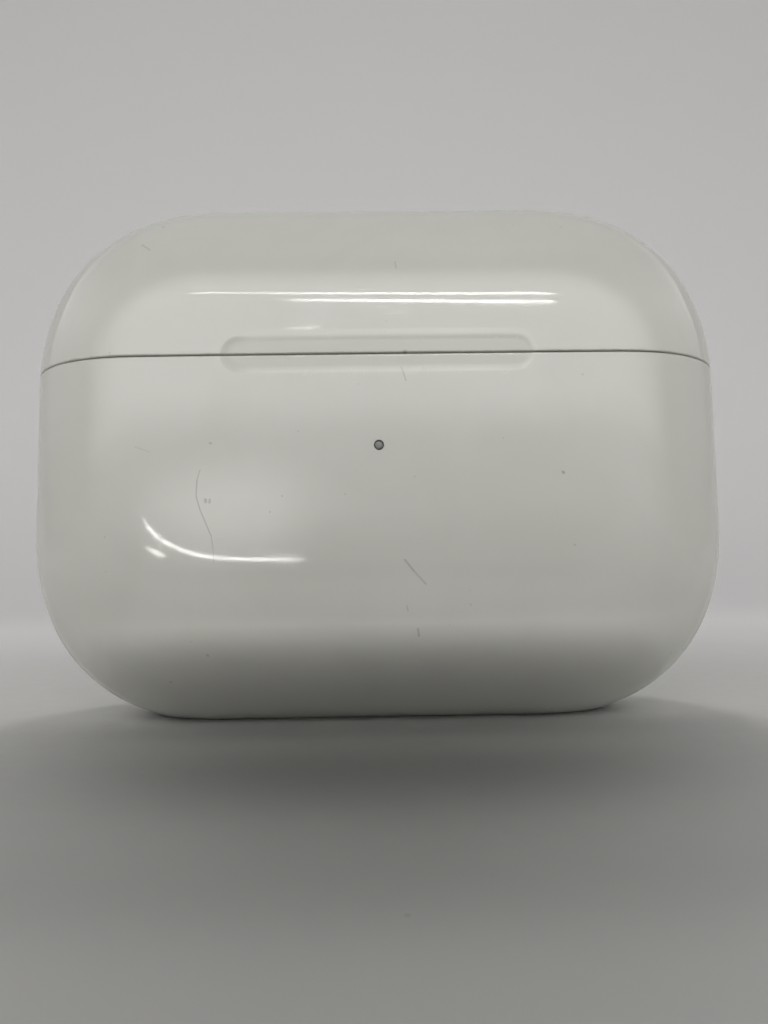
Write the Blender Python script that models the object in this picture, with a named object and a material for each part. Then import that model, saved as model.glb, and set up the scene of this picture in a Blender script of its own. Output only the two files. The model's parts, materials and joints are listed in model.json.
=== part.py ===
"""Charging case for a pair of wireless earbuds: a pebble-shaped glossy shell that
splits into a base and a lid on a rear barrel hinge.

Frame: +Z up (the lid is on top), -Y the front with the status light, +Y the back
with the hinge and the setup button.  The origin is the centre of the flat foot that
the case stands on.  Every dimension below is in millimetres; MM turns it to metres.
"""

import math

import bmesh
import bpy

MM = 0.001

# ---- driving dimensions ---------------------------------------------------------
WIDTH, DEPTH, HEIGHT = 60.6, 21.7, 45.2
CORNER_R = 17.5        # front-view corner radius
CORNER_N = 2.34        # corner exponent, 2 is a plain arc
EDGE_S = 11.5          # how far in from the outline the rounded edge runs
EDGE_P = 2.4           # edge profile exponent
CROWN = 0.3            # how much the two large faces bulge
FOOT_CUT = 0.8         # the rounded underside is cut flat this much above its lowest line
WALL = 1.2             # shell wall
SEAM_Z = 29.45         # middle of the gap between base and lid
SEAM_GAP = 0.3

RECESS_W, RECESS_H, RECESS_D = 24.4, 2.7, 0.15    # thumb recess across the seam
LED_Z, LED_R = 22.08, 0.36                         # status light

HINGE_Y, HINGE_Z = 9.2, 27.2   # hinge axis, along X
HINGE_HALF = 8.9               # half length of the barrel
KNUCKLE_R = 1.6
PIN_R, PIN_HOLE_R = 0.5, 0.57
MID_KNUCKLE = 4.7              # half length of the base's knuckle
SWEEP_CLEAR = 0.09             # between the turning lid and the base's rear rim
NOTCH_HALF, NOTCH_Z = 9.2, 25.35

BUTTON_Z, BUTTON_R, BUTTON_TRAVEL = 14.5, 2.7, 0.4

HEAD_X, HEAD_AX, HEAD_AY = 15.0, 10.2, 7.0     # earbud head pocket, half widths
STEM_X, STEM_Y, STEM_R = 8.2, 0.6, 4.3         # earbud stem well
STEM_FLOOR, HEAD_FLOOR = 10.0, 20.0
CRADLE_TOP = 29.0
TRAY_WALL = 0.9
PIN_PITCH = 2.6                                 # between the two contacts of a well
CONTACT_R, CONTACT_TRAVEL = 0.45, 0.6

BASE_RIM = SEAM_Z - SEAM_GAP / 2
LID_RIM = SEAM_Z + SEAM_GAP / 2

HX, HY = WIDTH / 2, DEPTH / 2
ZC = HEIGHT / 2
Z_TOP, Z_LOW = HEIGHT, -FOOT_CUT

# ---- colours --------------------------------------------------------------------
COLOURS = {
    "shell_white": ((0.80, 0.80, 0.77, 1), 0.16, 0.0),
    "liner_white": ((0.82, 0.82, 0.80, 1), 0.22, 0.0),
    "hinge_steel": ((0.72, 0.72, 0.73, 1), 0.18, 1.0),
    "port_steel": ((0.62, 0.62, 0.64, 1), 0.25, 1.0),
    "screw_steel": ((0.55, 0.55, 0.57, 1), 0.35, 1.0),
    "magnet_nickel": ((0.60, 0.60, 0.60, 1), 0.30, 1.0),
    "contact_gold": ((0.83, 0.62, 0.28, 1), 0.22, 1.0),
    "copper": ((0.72, 0.38, 0.20, 1), 0.35, 1.0),
    "ferrite": ((0.07, 0.07, 0.08, 1), 0.70, 0.0),
    "board_green": ((0.03, 0.16, 0.09, 1), 0.45, 0.0),
    "chip_black": ((0.03, 0.03, 0.035, 1), 0.50, 0.0),
    "cell_foil": ((0.14, 0.14, 0.16, 1), 0.40, 0.0),
    "flex_amber": ((0.45, 0.22, 0.05, 1), 0.40, 0.0),
    "lens_smoke": ((0.16, 0.17, 0.17, 1), 0.25, 0.0),
}


def material(name):
    found = bpy.data.materials.get(name)
    if found:
        return found
    colour, rough, metal = COLOURS[name]
    made = bpy.data.materials.new(name)
    made.use_nodes = True
    shader = made.node_tree.nodes["Principled BSDF"]
    shader.inputs["Base Color"].default_value = colour
    shader.inputs["Roughness"].default_value = rough
    shader.inputs["Metallic"].default_value = metal
    made.diffuse_color = colour
    return made


# ---- mesh helpers (all take millimetres) ------------------------------------------
def new_object(name, verts, faces, mat=None, origin=(0, 0, 0), smooth=True):
    """A closed mesh object whose origin is at `origin`, faces turned outwards."""
    mesh = bpy.data.meshes.new(name)
    mesh.from_pydata(
        [tuple((v[k] - origin[k]) * MM for k in range(3)) for v in verts], [], faces
    )
    bm = bmesh.new()
    bm.from_mesh(mesh)
    bmesh.ops.remove_doubles(bm, verts=bm.verts, dist=1e-7)
    bmesh.ops.dissolve_degenerate(bm, edges=bm.edges, dist=1e-7)
    bmesh.ops.recalc_face_normals(bm, faces=bm.faces)
    bm.to_mesh(mesh)
    bm.free()
    if smooth:
        mesh.shade_smooth()
        mesh.set_sharp_from_angle(angle=math.radians(35))
    obj = bpy.data.objects.new(name, mesh)
    obj.location = tuple(c * MM for c in origin)
    bpy.context.scene.collection.objects.link(obj)
    if mat:
        mesh.materials.append(material(mat))
    return obj


def loft(loops, cap_start=True, cap_end=True):
    """Vertices and faces through closed loops that have the same number of points."""
    n = len(loops[0])
    verts = [p for loop in loops for p in loop]
    faces = []
    for k in range(len(loops) - 1):
        a, b = k * n, (k + 1) * n
        for i in range(n):
            j = (i + 1) % n
            faces.append((a + i, a + j, b + j, b + i))
    if cap_start:
        faces.append(tuple(range(n - 1, -1, -1)))
    if cap_end:
        last = (len(loops) - 1) * n
        faces.append(tuple(range(last, last + n)))
    return verts, faces


def place(axis, p, level):
    """A point of a 2-D profile, set at `level` along `axis`."""
    if axis == "X":
        return (level, p[0], p[1])
    if axis == "Y":
        return (p[0], level, p[1])
    return (p[0], p[1], level)


def prism(name, pts, axis, lo, hi, mat=None, origin=(0, 0, 0), ease=0.0):
    """A profile extruded along an axis. `ease` draws both end faces in as a small chamfer."""
    if ease:
        cx = sum(p[0] for p in pts) / len(pts)
        cy = sum(p[1] for p in pts) / len(pts)
        hw = max(abs(p[0] - cx) for p in pts)
        hh = max(abs(p[1] - cy) for p in pts)
        small = [
            (cx + (p[0] - cx) * (1 - ease / hw), cy + (p[1] - cy) * (1 - ease / hh))
            for p in pts
        ]
        loops = [
            [place(axis, p, lo) for p in small],
            [place(axis, p, lo + ease) for p in pts],
            [place(axis, p, hi - ease) for p in pts],
            [place(axis, p, hi) for p in small],
        ]
    else:
        loops = [[place(axis, p, lo) for p in pts], [place(axis, p, hi) for p in pts]]
    return new_object(name, *loft(loops), mat, origin)


def tube(name, outer, inner, axis, lo, hi, mat=None, origin=(0, 0, 0)):
    """A ring-shaped prism between two profiles with the same number of points."""
    loops = [
        [place(axis, p, lo) for p in outer],
        [place(axis, p, hi) for p in outer],
        [place(axis, p, hi) for p in inner],
        [place(axis, p, lo) for p in inner],
        [place(axis, p, lo) for p in outer],
    ]
    return new_object(name, *loft(loops, False, False), mat, origin)


def circle(r, n=16, c=(0, 0), phase=0.5):
    return [
        (
            c[0] + r * math.cos(2 * math.pi * (i + phase) / n),
            c[1] + r * math.sin(2 * math.pi * (i + phase) / n),
        )
        for i in range(n)
    ]


def rounded(w, h, r, c=(0, 0), seg=3):
    """A rectangle w by h with rounded corners, counter-clockwise."""
    r = min(r, w / 2 - 1e-4, h / 2 - 1e-4)
    pts = []
    for qx, qy, a0 in ((1, 1, 0), (-1, 1, 90), (-1, -1, 180), (1, -1, 270)):
        for i in range(seg + 1):
            a = math.radians(a0 + 90 * i / seg)
            pts.append(
                (
                    c[0] + qx * (w / 2 - r) + r * math.cos(a),
                    c[1] + qy * (h / 2 - r) + r * math.sin(a),
                )
            )
    return pts


def stadium(w, h, c=(0, 0), seg=5):
    return rounded(w, h, h / 2, c, seg)


def superellipse(ax, ay, c, n=2.6, count=28):
    pts = []
    for i in range(count):
        a = 2 * math.pi * i / count
        ca, sa = math.cos(a), math.sin(a)
        pts.append(
            (
                c[0] + ax * math.copysign(abs(ca) ** (2 / n), ca),
                c[1] + ay * math.copysign(abs(sa) ** (2 / n), sa),
            )
        )
    return pts


def helper(obj):
    obj.hide_render = True
    obj.display_type = "WIRE"
    return obj


def boolean(obj, other, operation="DIFFERENCE"):
    helper(other)
    mod = obj.modifiers.new(other.name, "BOOLEAN")
    mod.operation = operation
    mod.solver = "EXACT"
    mod.object = other
    return mod


# ---- the outer form ----------------------------------------------------------------
def outline_half_width(z, off):
    """Half width of the front view at height z, for the form drawn in by `off`."""
    r = CORNER_R - off
    mid = (Z_TOP + Z_LOW) / 2
    half = (Z_TOP - Z_LOW) / 2 - off
    u = max(abs(z - mid) - (half - r), 0.0) / r
    u = min(u, 1.0)
    return (HX - off - r) + r * (1 - u**CORNER_N) ** (1 / CORNER_N)


def half_depth(x, z, off):
    """Half depth of the form at (x, z), 0 on the outline."""
    r = CORNER_R - off
    mid = (Z_TOP + Z_LOW) / 2
    half = (Z_TOP - Z_LOW) / 2 - off
    ux = max(abs(x) - (HX - off - r), 0.0) / r
    uz = max(abs(z - mid) - (half - r), 0.0) / r
    g = (ux**CORNER_N + uz**CORNER_N) ** (1 / CORNER_N)
    t = min(max(r * (1 - g) / (EDGE_S - off), 0.0), 1.0)
    edge = math.sqrt(max(1 - (1 - t) ** EDGE_P, 0.0))
    crown = CROWN * (1 - (x / HX) ** 2) * (1 - ((z - ZC) / ZC) ** 2)
    return (HY - off - CROWN + crown) * edge


def slice_loop(z, off, quarter=14, turn=1.6):
    """The form's horizontal section at height z as a loop of 4 * quarter points,
    spread by length and by how much the curve turns."""
    xo = outline_half_width(z, off)
    steps = 400
    xs = [xo * math.sin(math.pi / 2 * i / steps) for i in range(steps + 1)]
    ys = [half_depth(x, z, off) for x in xs]
    ys[-1] = 0.0
    weight, length = [0.0], []
    angles = []
    for i in range(steps):
        dx, dy = xs[i + 1] - xs[i], ys[i + 1] - ys[i]
        length.append(math.hypot(dx, dy))
        angles.append(math.atan2(-dy, dx))
    total = sum(length) or 1.0
    for i in range(steps):
        bend = abs(angles[i] - angles[i - 1]) if i else 0.0
        weight.append(weight[-1] + length[i] / total + turn * bend / (math.pi / 2))
    quarter_pts, k = [], 0
    for q in range(quarter + 1):
        want = weight[-1] * q / quarter
        while k < steps - 1 and weight[k + 1] < want:
            k += 1
        span = weight[k + 1] - weight[k]
        f = (want - weight[k]) / span if span > 0 else 0.0
        quarter_pts.append(
            (xs[k] + (xs[k + 1] - xs[k]) * f, ys[k] + (ys[k + 1] - ys[k]) * f)
        )
    quarter_pts[0] = (0.0, quarter_pts[0][1])
    quarter_pts[-1] = (xo, 0.0)
    loop = list(reversed(quarter_pts))                             # +x end to back middle
    loop += [(-x, y) for x, y in quarter_pts[1:]]                  # back middle to -x end
    loop += [(-x, -y) for x, y in reversed(quarter_pts[:-1])]      # -x end to front middle
    loop += [(x, -y) for x, y in quarter_pts[1:-1]]                # front middle to +x end
    return [(x, y, z) for x, y in loop]


def ridge_loop(z, off, quarter=14):
    """The topmost line of the form, where front and back meet, as a folded loop."""
    near = slice_loop(z - 0.03, off, quarter)
    top = HX - CORNER_R
    widest = max(p[0] for p in near)
    return [(p[0] / widest * top, 0.0, z) for p in near]


BASE_LEVELS = (0, 0.35, 0.9, 1.6, 2.5, 3.6, 5.0, 6.8, 9.2, 12.5, 17, 23, BASE_RIM)
LID_LEVELS = (LID_RIM, 33.2, 35.8, 38.0, 39.8, 41.3, 42.5, 43.5, 44.2, 44.7, 45.05)
BASE_INNER = (1.35, 2.0, 2.9, 4.0, 5.6, 7.8, 11, 16, 23, BASE_RIM)
LID_INNER = (LID_RIM, 33.2, 35.8, 38.0, 39.7, 41.1, 42.3, 43.2, 43.75)


def shell_base():
    loops = [slice_loop(z, 0) for z in BASE_LEVELS]
    loops += [slice_loop(z, WALL) for z in reversed(BASE_INNER)]
    return new_object("base_shell", *loft(loops), "shell_white")


def shell_lid():
    loops = [ridge_loop(Z_TOP, 0)]
    loops += [slice_loop(z, 0) for z in reversed(LID_LEVELS)]
    loops += [slice_loop(z, WALL) for z in LID_INNER]
    loops += [ridge_loop(Z_TOP - WALL, WALL)]
    return new_object("lid_shell", *loft(loops, False, False), "shell_white")


def build_shells():
    base, lid = shell_base(), shell_lid()
    # thumb recess across the seam, one cutter for each half
    front = -(half_depth(0, SEAM_Z, 0))
    pocket = stadium(RECESS_W, RECESS_H, (0, SEAM_Z), 6)
    boolean(base, prism("cut_recess_base", pocket, "Y", front - 3, front + RECESS_D))
    boolean(lid, prism("cut_recess_lid", pocket, "Y", front - 3, front + RECESS_D))
    # light pipe hole
    boolean(
        base,
        prism("cut_led", circle(LED_R + 0.1, 16, (0, LED_Z)), "Y", -HY - 3, -HY + 3),
    )
    # charging port
    boolean(base, prism("cut_port", stadium(10.8, 5.0, (0, 0), 6), "Z", -2, 4))
    # hinge notch, open at the rim
    boolean(
        base,
        prism(
            "cut_hinge_notch",
            rounded(2 * NOTCH_HALF, 12, 0.8, (0, NOTCH_Z + 6), 3),
            "Y",
            HINGE_Y - 2.2,
            HY + 3,
        ),
    )
    # setup button
    boolean(
        base,
        prism(
            "cut_button", circle(BUTTON_R + 0.15, 28, (0, BUTTON_Z)), "Y", HY - 3, HY + 3
        ),
    )
    # blind holes that take the hinge screws
    for side in (-1, 1):
        boolean(
            base,
            prism(
                f"cut_base_screw_{side + 1}",
                circle(0.62, 12, (side * 6.6, 23.8)),
                "Y",
                HY - 2.2,
                HY - 0.55,
            ),
        )
        boolean(
            lid,
            prism(
                f"cut_lid_screw_{side + 1}",
                circle(0.62, 12, (side * 6.6, 33.7)),
                "Y",
                HY - 2.4,
                HY - 0.6,
            ),
        )
    # the lid's rear rim is hollowed round the hinge axis so that it swings clear; the
    # hollow closes towards the sides, where the rim no longer reaches past the axis
    stations = (8.0, 14.0, 18.0, 20.0, 22.0, 23.5, 25.0, 26.2, 27.0)
    loops = []
    for x in [-v for v in reversed(stations)] + list(stations):
        reach = max(half_depth(x, BASE_RIM, 0) - HINGE_Y, 0.0)
        r = math.hypot(reach, BASE_RIM - HINGE_Z) + SWEEP_CLEAR
        loops.append([(x, p[0], p[1]) for p in circle(r, 40, (HINGE_Y, HINGE_Z))])
    boolean(lid, new_object("cut_lid_sweep", *loft(loops)))
    return base, lid


# ---- cradle in the base and liner in the lid ----------------------------------------
def pocket(name, centre, levels, grow=0.0, count=28):
    """A lofted pocket from (z, half width, half depth) levels, listed top first."""
    loops = []
    for z, ax, ay in levels:
        loops.append(
            [(p[0], p[1], z) for p in superellipse(ax + grow, ay + grow, centre, count=count)]
        )
    return new_object(name, *loft(loops))


def build_cradle():
    off = WALL + 0.25
    plate = [slice_loop(z, off) for z in (CRADLE_TOP - 1.2, CRADLE_TOP)]
    cradle = new_object("cradle", *loft(plate), "liner_white")
    for side, word in ((-1, "left"), (1, "right")):
        head = (side * HEAD_X, 0)
        stem = (side * STEM_X, STEM_Y)
        top = CRADLE_TOP + 1
        head_levels = [
            (top, HEAD_AX, HEAD_AY),
            (26.0, HEAD_AX - 0.3, HEAD_AY - 0.2),
            (23.0, HEAD_AX - 1.1, HEAD_AY - 0.8),
            (21.0, HEAD_AX - 2.6, HEAD_AY - 2.0),
            (HEAD_FLOOR, HEAD_AX - 4.8, HEAD_AY - 3.8),
        ]
        stem_levels = [
            (top, STEM_R + 0.1, STEM_R + 0.1),
            (14.0, STEM_R - 0.1, STEM_R - 0.1),
            (11.0, STEM_R - 0.5, STEM_R - 0.5),
            (STEM_FLOOR, STEM_R - 1.1, STEM_R - 1.1),
        ]
        low = CRADLE_TOP - 0.6
        head_out = [(low, *head_levels[0][1:])] + [
            (z - TRAY_WALL * (z < 22), ax, ay) for z, ax, ay in head_levels[1:]
        ]
        stem_out = [(low, *stem_levels[0][1:])] + [
            (z - TRAY_WALL, ax, ay) for z, ax, ay in stem_levels[1:]
        ]
        boolean(cradle, pocket(f"cup_head_{word}", head, head_out, TRAY_WALL), "UNION")
        boolean(
            cradle,
            pocket(f"cup_stem_{word}", stem, stem_out, TRAY_WALL, 20),
            "UNION",
        )
    for side, word in ((-1, "left"), (1, "right")):
        head = (side * HEAD_X, 0)
        stem = (side * STEM_X, STEM_Y)
        top = CRADLE_TOP + 1
        boolean(
            cradle,
            pocket(
                f"cut_head_{word}",
                head,
                [
                    (top, HEAD_AX, HEAD_AY),
                    (26.0, HEAD_AX - 0.3, HEAD_AY - 0.2),
                    (23.0, HEAD_AX - 1.1, HEAD_AY - 0.8),
                    (21.0, HEAD_AX - 2.6, HEAD_AY - 2.0),
                    (HEAD_FLOOR, HEAD_AX - 4.8, HEAD_AY - 3.8),
                ],
            ),
        )
        boolean(
            cradle,
            pocket(
                f"cut_stem_{word}",
                stem,
                [
                    (top, STEM_R + 0.1, STEM_R + 0.1),
                    (14.0, STEM_R - 0.1, STEM_R - 0.1),
                    (11.0, STEM_R - 0.5, STEM_R - 0.5),
                    (STEM_FLOOR, STEM_R - 1.1, STEM_R - 1.1),
                ],
                0.0,
                20,
            ),
        )
        for end in (-1, 1):
            boolean(
                cradle,
                prism(
                    f"cut_pin_{word}_{end + 1}",
                    circle(CONTACT_R + 0.15, 12, (side * STEM_X, STEM_Y + end * PIN_PITCH / 2)),
                    "Z",
                    STEM_FLOOR - 3,
                    STEM_FLOOR + 1.5,
                ),
            )
    # room for the hinge barrel at the back
    boolean(
        cradle,
        prism(
            "cut_cradle_hinge",
            rounded(2 * 9.7, 8, 1.0, (0, HINGE_Y - KNUCKLE_R - 0.45 + 4), 3),
            "Z",
            20,
            40,
        ),
    )
    return cradle


def build_liner():
    off = WALL + 0.25
    low = LID_RIM + 0.5
    plate = [slice_loop(z, off) for z in (low, low + 1.1)]
    liner = new_object("lid_liner", *loft(plate), "liner_white")
    levels = [
        (low, 10.3, 6.9),
        (34.0, 10.0, 6.7),
        (37.4, 8.8, 5.9),
        (39.6, 6.9, 4.6),
        (40.8, 4.6, 3.0),
    ]
    for side, word in ((-1, "left"), (1, "right")):
        centre = (side * 14.9, 0)
        outer = [(low + 0.5, 10.3, 6.9)] + [
            (z + TRAY_WALL * (z > 36), ax, ay) for z, ax, ay in levels[1:]
        ]
        boolean(liner, pocket(f"dome_{word}", centre, outer, TRAY_WALL), "UNION")
    for side, word in ((-1, "left"), (1, "right")):
        inner = [(low - 1, 10.3, 6.9)] + levels[1:]
        boolean(liner, pocket(f"cut_dome_{word}", (side * 14.9, 0), inner))
    boolean(
        liner,
        prism(
            "cut_liner_hinge", rounded(2 * 9.5, 8, 1.0, (0, 7.75 + 4), 3), "Z", 20, 40
        ),
    )
    return liner


# ---- hinge -----------------------------------------------------------------------------
PLATE_Y0, PLATE_Y1 = HINGE_Y - 0.9, HINGE_Y   # the two leaves lie just inside the back wall


def knuckle_profile(r, up):
    """Y-Z profile of a knuckle with its leaf running up or down from it."""
    # the leaf's faces meet the round at y = -0.9 and y = 0 from the axis
    pts = []
    ang0 = math.pi / 2 if up else -math.pi / 2
    ang1 = math.pi - math.acos(0.9 / r) if up else -(math.pi - math.acos(0.9 / r))
    n = 20
    if up:
        # clockwise from the top (y = 0) round the back and under to y = -0.9
        sweep = ang0 - (ang1 - 2 * math.pi)
        for i in range(n + 1):
            a = ang0 - sweep * i / n
            pts.append((HINGE_Y + r * math.cos(a), HINGE_Z + r * math.sin(a)))
    else:
        sweep = (ang1 + 2 * math.pi) - ang0
        for i in range(n + 1):
            a = ang0 + sweep * i / n
            pts.append((HINGE_Y + r * math.cos(a), HINGE_Z + r * math.sin(a)))
    return pts


def build_hinge():
    # base leaf: middle knuckle, and a plate inside the back wall below it
    profile = knuckle_profile(KNUCKLE_R, up=False)
    profile += [(PLATE_Y0, 23.0), (PLATE_Y1, 23.0)]
    base_leaf = prism(
        "hinge_base_bracket", profile, "X", -MID_KNUCKLE, MID_KNUCKLE, "hinge_steel"
    )
    boolean(
        base_leaf,
        prism(
            "join_base_plate",
            rounded(17.0, 3.0, 0.7, (0, 23.8), 3),
            "Y",
            PLATE_Y0 + 0.0005,
            PLATE_Y1 - 0.0005,
        ),
        "UNION",
    )
    boolean(
        base_leaf,
        prism("cut_base_bore", circle(PIN_HOLE_R, 16, (HINGE_Y, HINGE_Z)), "X", -12, 12),
    )
    # lid leaf: two outer knuckles joined by a plate inside the lid's back wall
    profile = knuckle_profile(KNUCKLE_R - 0.05, up=True)
    profile += [(PLATE_Y0, 34.2), (PLATE_Y1, 34.2)]
    lid_leaf = prism(
        "hinge_lid_bracket", profile, "X", MID_KNUCKLE + 0.25, HINGE_HALF, "hinge_steel"
    )
    other = prism("join_lid_arm", profile, "X", -HINGE_HALF, -MID_KNUCKLE - 0.25)
    boolean(lid_leaf, other, "UNION")
    boolean(
        lid_leaf,
        prism(
            "join_lid_plate",
            rounded(17.8 + 0.01, 3.6, 0.7, (0, 33.6), 3),
            "Y",
            PLATE_Y0 + 0.0005,
            PLATE_Y1 - 0.0005,
        ),
        "UNION",
    )
    boolean(
        lid_leaf,
        prism("cut_lid_bore", circle(PIN_HOLE_R, 16, (HINGE_Y, HINGE_Z)), "X", -12, 12),
    )
    for side, word in ((-1, "left"), (1, "right")):
        for leaf, z, part in ((base_leaf, 23.8, "base"), (lid_leaf, 33.7, "lid")):
            c = (side * 6.6, z)
            boolean(
                leaf,
                prism(f"cut_{part}_leaf_{word}", circle(0.62, 12, c), "Y", 7.5, 10.5),
            )
            screw(f"hinge_screw_{part}_{word}", c)
    prism(
        "hinge_pin",
        circle(PIN_R, 16, (HINGE_Y, HINGE_Z)),
        "X",
        -HINGE_HALF + 0.1,
        HINGE_HALF - 0.1,
        "screw_steel",
        (0, HINGE_Y, HINGE_Z),
        ease=0.12,
    )


def screw(name, c):
    """Pan-head screw along +Y with a cross recess, head on the inner side of the leaf."""
    y0 = PLATE_Y0 - 0.06
    n = 12
    rings = [
        (y0 - 0.62, 0.75),
        (y0 - 0.45, 1.05),
        (y0, 1.05),
        (y0, 0.5),
        (y0 + 1.7, 0.5),
        (y0 + 1.85, 0.35),
    ]
    loops = [[(p[0], y, p[1]) for p in circle(r, n, c)] for y, r in rings]
    made = new_object(name, *loft(loops), "screw_steel", (c[0], y0, c[1]))
    for turn in (0, 1):
        w, h = (1.1, 0.26) if turn == 0 else (0.26, 1.1)
        pts = [(-w / 2, -h / 2), (w / 2, -h / 2), (w / 2, h / 2), (-w / 2, h / 2)]
        boolean(
            made,
            prism(
                f"cut_{name}_{turn}",
                [(c[0] + a, c[1] + b) for a, b in pts],
                "Y",
                y0 - 1.5,
                y0 - 0.35,
            ),
        )
    return made


# ---- button, light, port, contacts --------------------------------------------------------
def build_button():
    back = half_depth(0, BUTTON_Z, 0)
    rings = [
        (8.57, 0.7),
        (8.7, 0.8),
        (8.92, 0.8),
        (8.92, 3.2),
        (9.2, 3.2),
        (9.2, BUTTON_R),
        (back - 0.16, BUTTON_R),
        (back - 0.05, BUTTON_R - 0.14),
    ]
    loops = [
        [(p[0], y, p[1]) for p in circle(r, 28, (0, BUTTON_Z))] for y, r in rings
    ]
    new_object("setup_button", *loft(loops), "shell_white", (0, back, BUTTON_Z))
    prism(
        "button_board",
        rounded(8.0, 6.4, 0.8, (0, BUTTON_Z)),
        "Y",
        6.75,
        7.15,
        "flex_amber",
    )
    # tactile switch: square body with a low snap dome on it
    loops = [[place("Y", p, y) for p in rounded(s, s, 0.5, (0, BUTTON_Z), 3)] for y, s in ((7.25, 3.4), (7.85, 3.4), (7.85, 2.6), (8.05, 2.2), (8.15, 1.4))]
    new_object("button_switch", *loft(loops), "magnet_nickel", (0, 7.25, BUTTON_Z))


def build_light():
    front = half_depth(0, LED_Z, 0)
    rings = [
        (-front + 0.04, LED_R - 0.05),
        (-front + 0.10, LED_R),
        (-front + 1.45, LED_R),
        (-front + 1.45, 0.95),
        (-front + 1.95, 0.95),
    ]
    loops = [[(p[0], y, p[1]) for p in circle(r, 16, (0, LED_Z))] for y, r in rings]
    new_object("status_light_lens", *loft(loops), "lens_smoke", (0, -front, LED_Z))
    prism(
        "status_light_chip",
        rounded(1.6, 0.9, 0.1, (0, LED_Z), 1),
        "Y",
        -8.65,
        -8.2,
        "contact_gold",
    )


def build_port():
    tube(
        "port_trim",
        stadium(10.3, 4.5, (0, 0), 6),
        stadium(8.6, 2.8, (0, 0), 6),
        "Z",
        0.12,
        1.5,
        "port_steel",
    )
    outer, inner = stadium(9.3, 3.5, (0, 0), 6), stadium(8.5, 2.7, (0, 0), 6)
    # a cup: outside up, over the closed top, inside down from the mouth
    cup = [
        [place("Z", p, 7.3) for p in outer],
        [place("Z", p, 1.8) for p in outer],
        [place("Z", p, 1.8) for p in inner],
        [place("Z", p, 6.9) for p in inner],
    ]
    new_object("port_receptacle", *loft(cup), "port_steel")
    tongue = [
        [place("Z", p, z) for p in shape]
        for z, shape in (
            (2.3, rounded(6.2, 0.5, 0.2, (0, 0), 3)),
            (2.6, rounded(6.7, 0.7, 0.3, (0, 0), 3)),
            (5.6, rounded(6.7, 0.7, 0.3, (0, 0), 3)),
            (5.6, rounded(8.1, 2.3, 1.1, (0, 0), 3)),
            (6.7, rounded(8.1, 2.3, 1.1, (0, 0), 3)),
        )
    ]
    new_object("port_tongue", *loft(tongue), "chip_black")


def build_contacts():
    for side, word in ((-1, "left"), (1, "right")):
        block = prism(
            f"contact_block_{word}",
            rounded(5.0, 5.6, 0.8, (side * STEM_X, STEM_Y)),
            "Z",
            5.9,
            8.75,
            "chip_black",
        )
        for end, place_word in ((-1, "front"), (1, "rear")):
            c = (side * STEM_X, STEM_Y + end * PIN_PITCH / 2)
            boolean(
                block,
                prism(
                    f"cut_block_{word}_{place_word}",
                    circle(CONTACT_R + 0.15, 12, c),
                    "Z",
                    6.35,
                    10,
                ),
            )
            tip = STEM_FLOOR + 0.8
            rings = [(7.15, CONTACT_R), (tip - 0.25, CONTACT_R), (tip - 0.07, 0.3), (tip, 0.12)]
            loops = [[(p[0], p[1], z) for p in circle(r, 12, c)] for z, r in rings]
            new_object(
                f"charge_pin_{word}_{place_word}", *loft(loops), "contact_gold", (*c, tip)
            )
        # flex tail from the contacts forward and up to the main board
        t = 0.25
        path = [
            (STEM_Y + 2.4, 5.35),
            (-6.55, 5.35),
            (-6.85, 5.65),
            (-6.85, 9.5),
        ]
        inner = [
            (-6.85 + t, 9.5),
            (-6.85 + t, 5.75),
            (-6.45, 5.35 + t),
            (STEM_Y + 2.4, 5.35 + t),
        ]
        prism(
            f"contact_flex_{word}",
            path + inner,
            "X",
            side * STEM_X - 1.5,
            side * STEM_X + 1.5,
            "flex_amber",
        )


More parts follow.
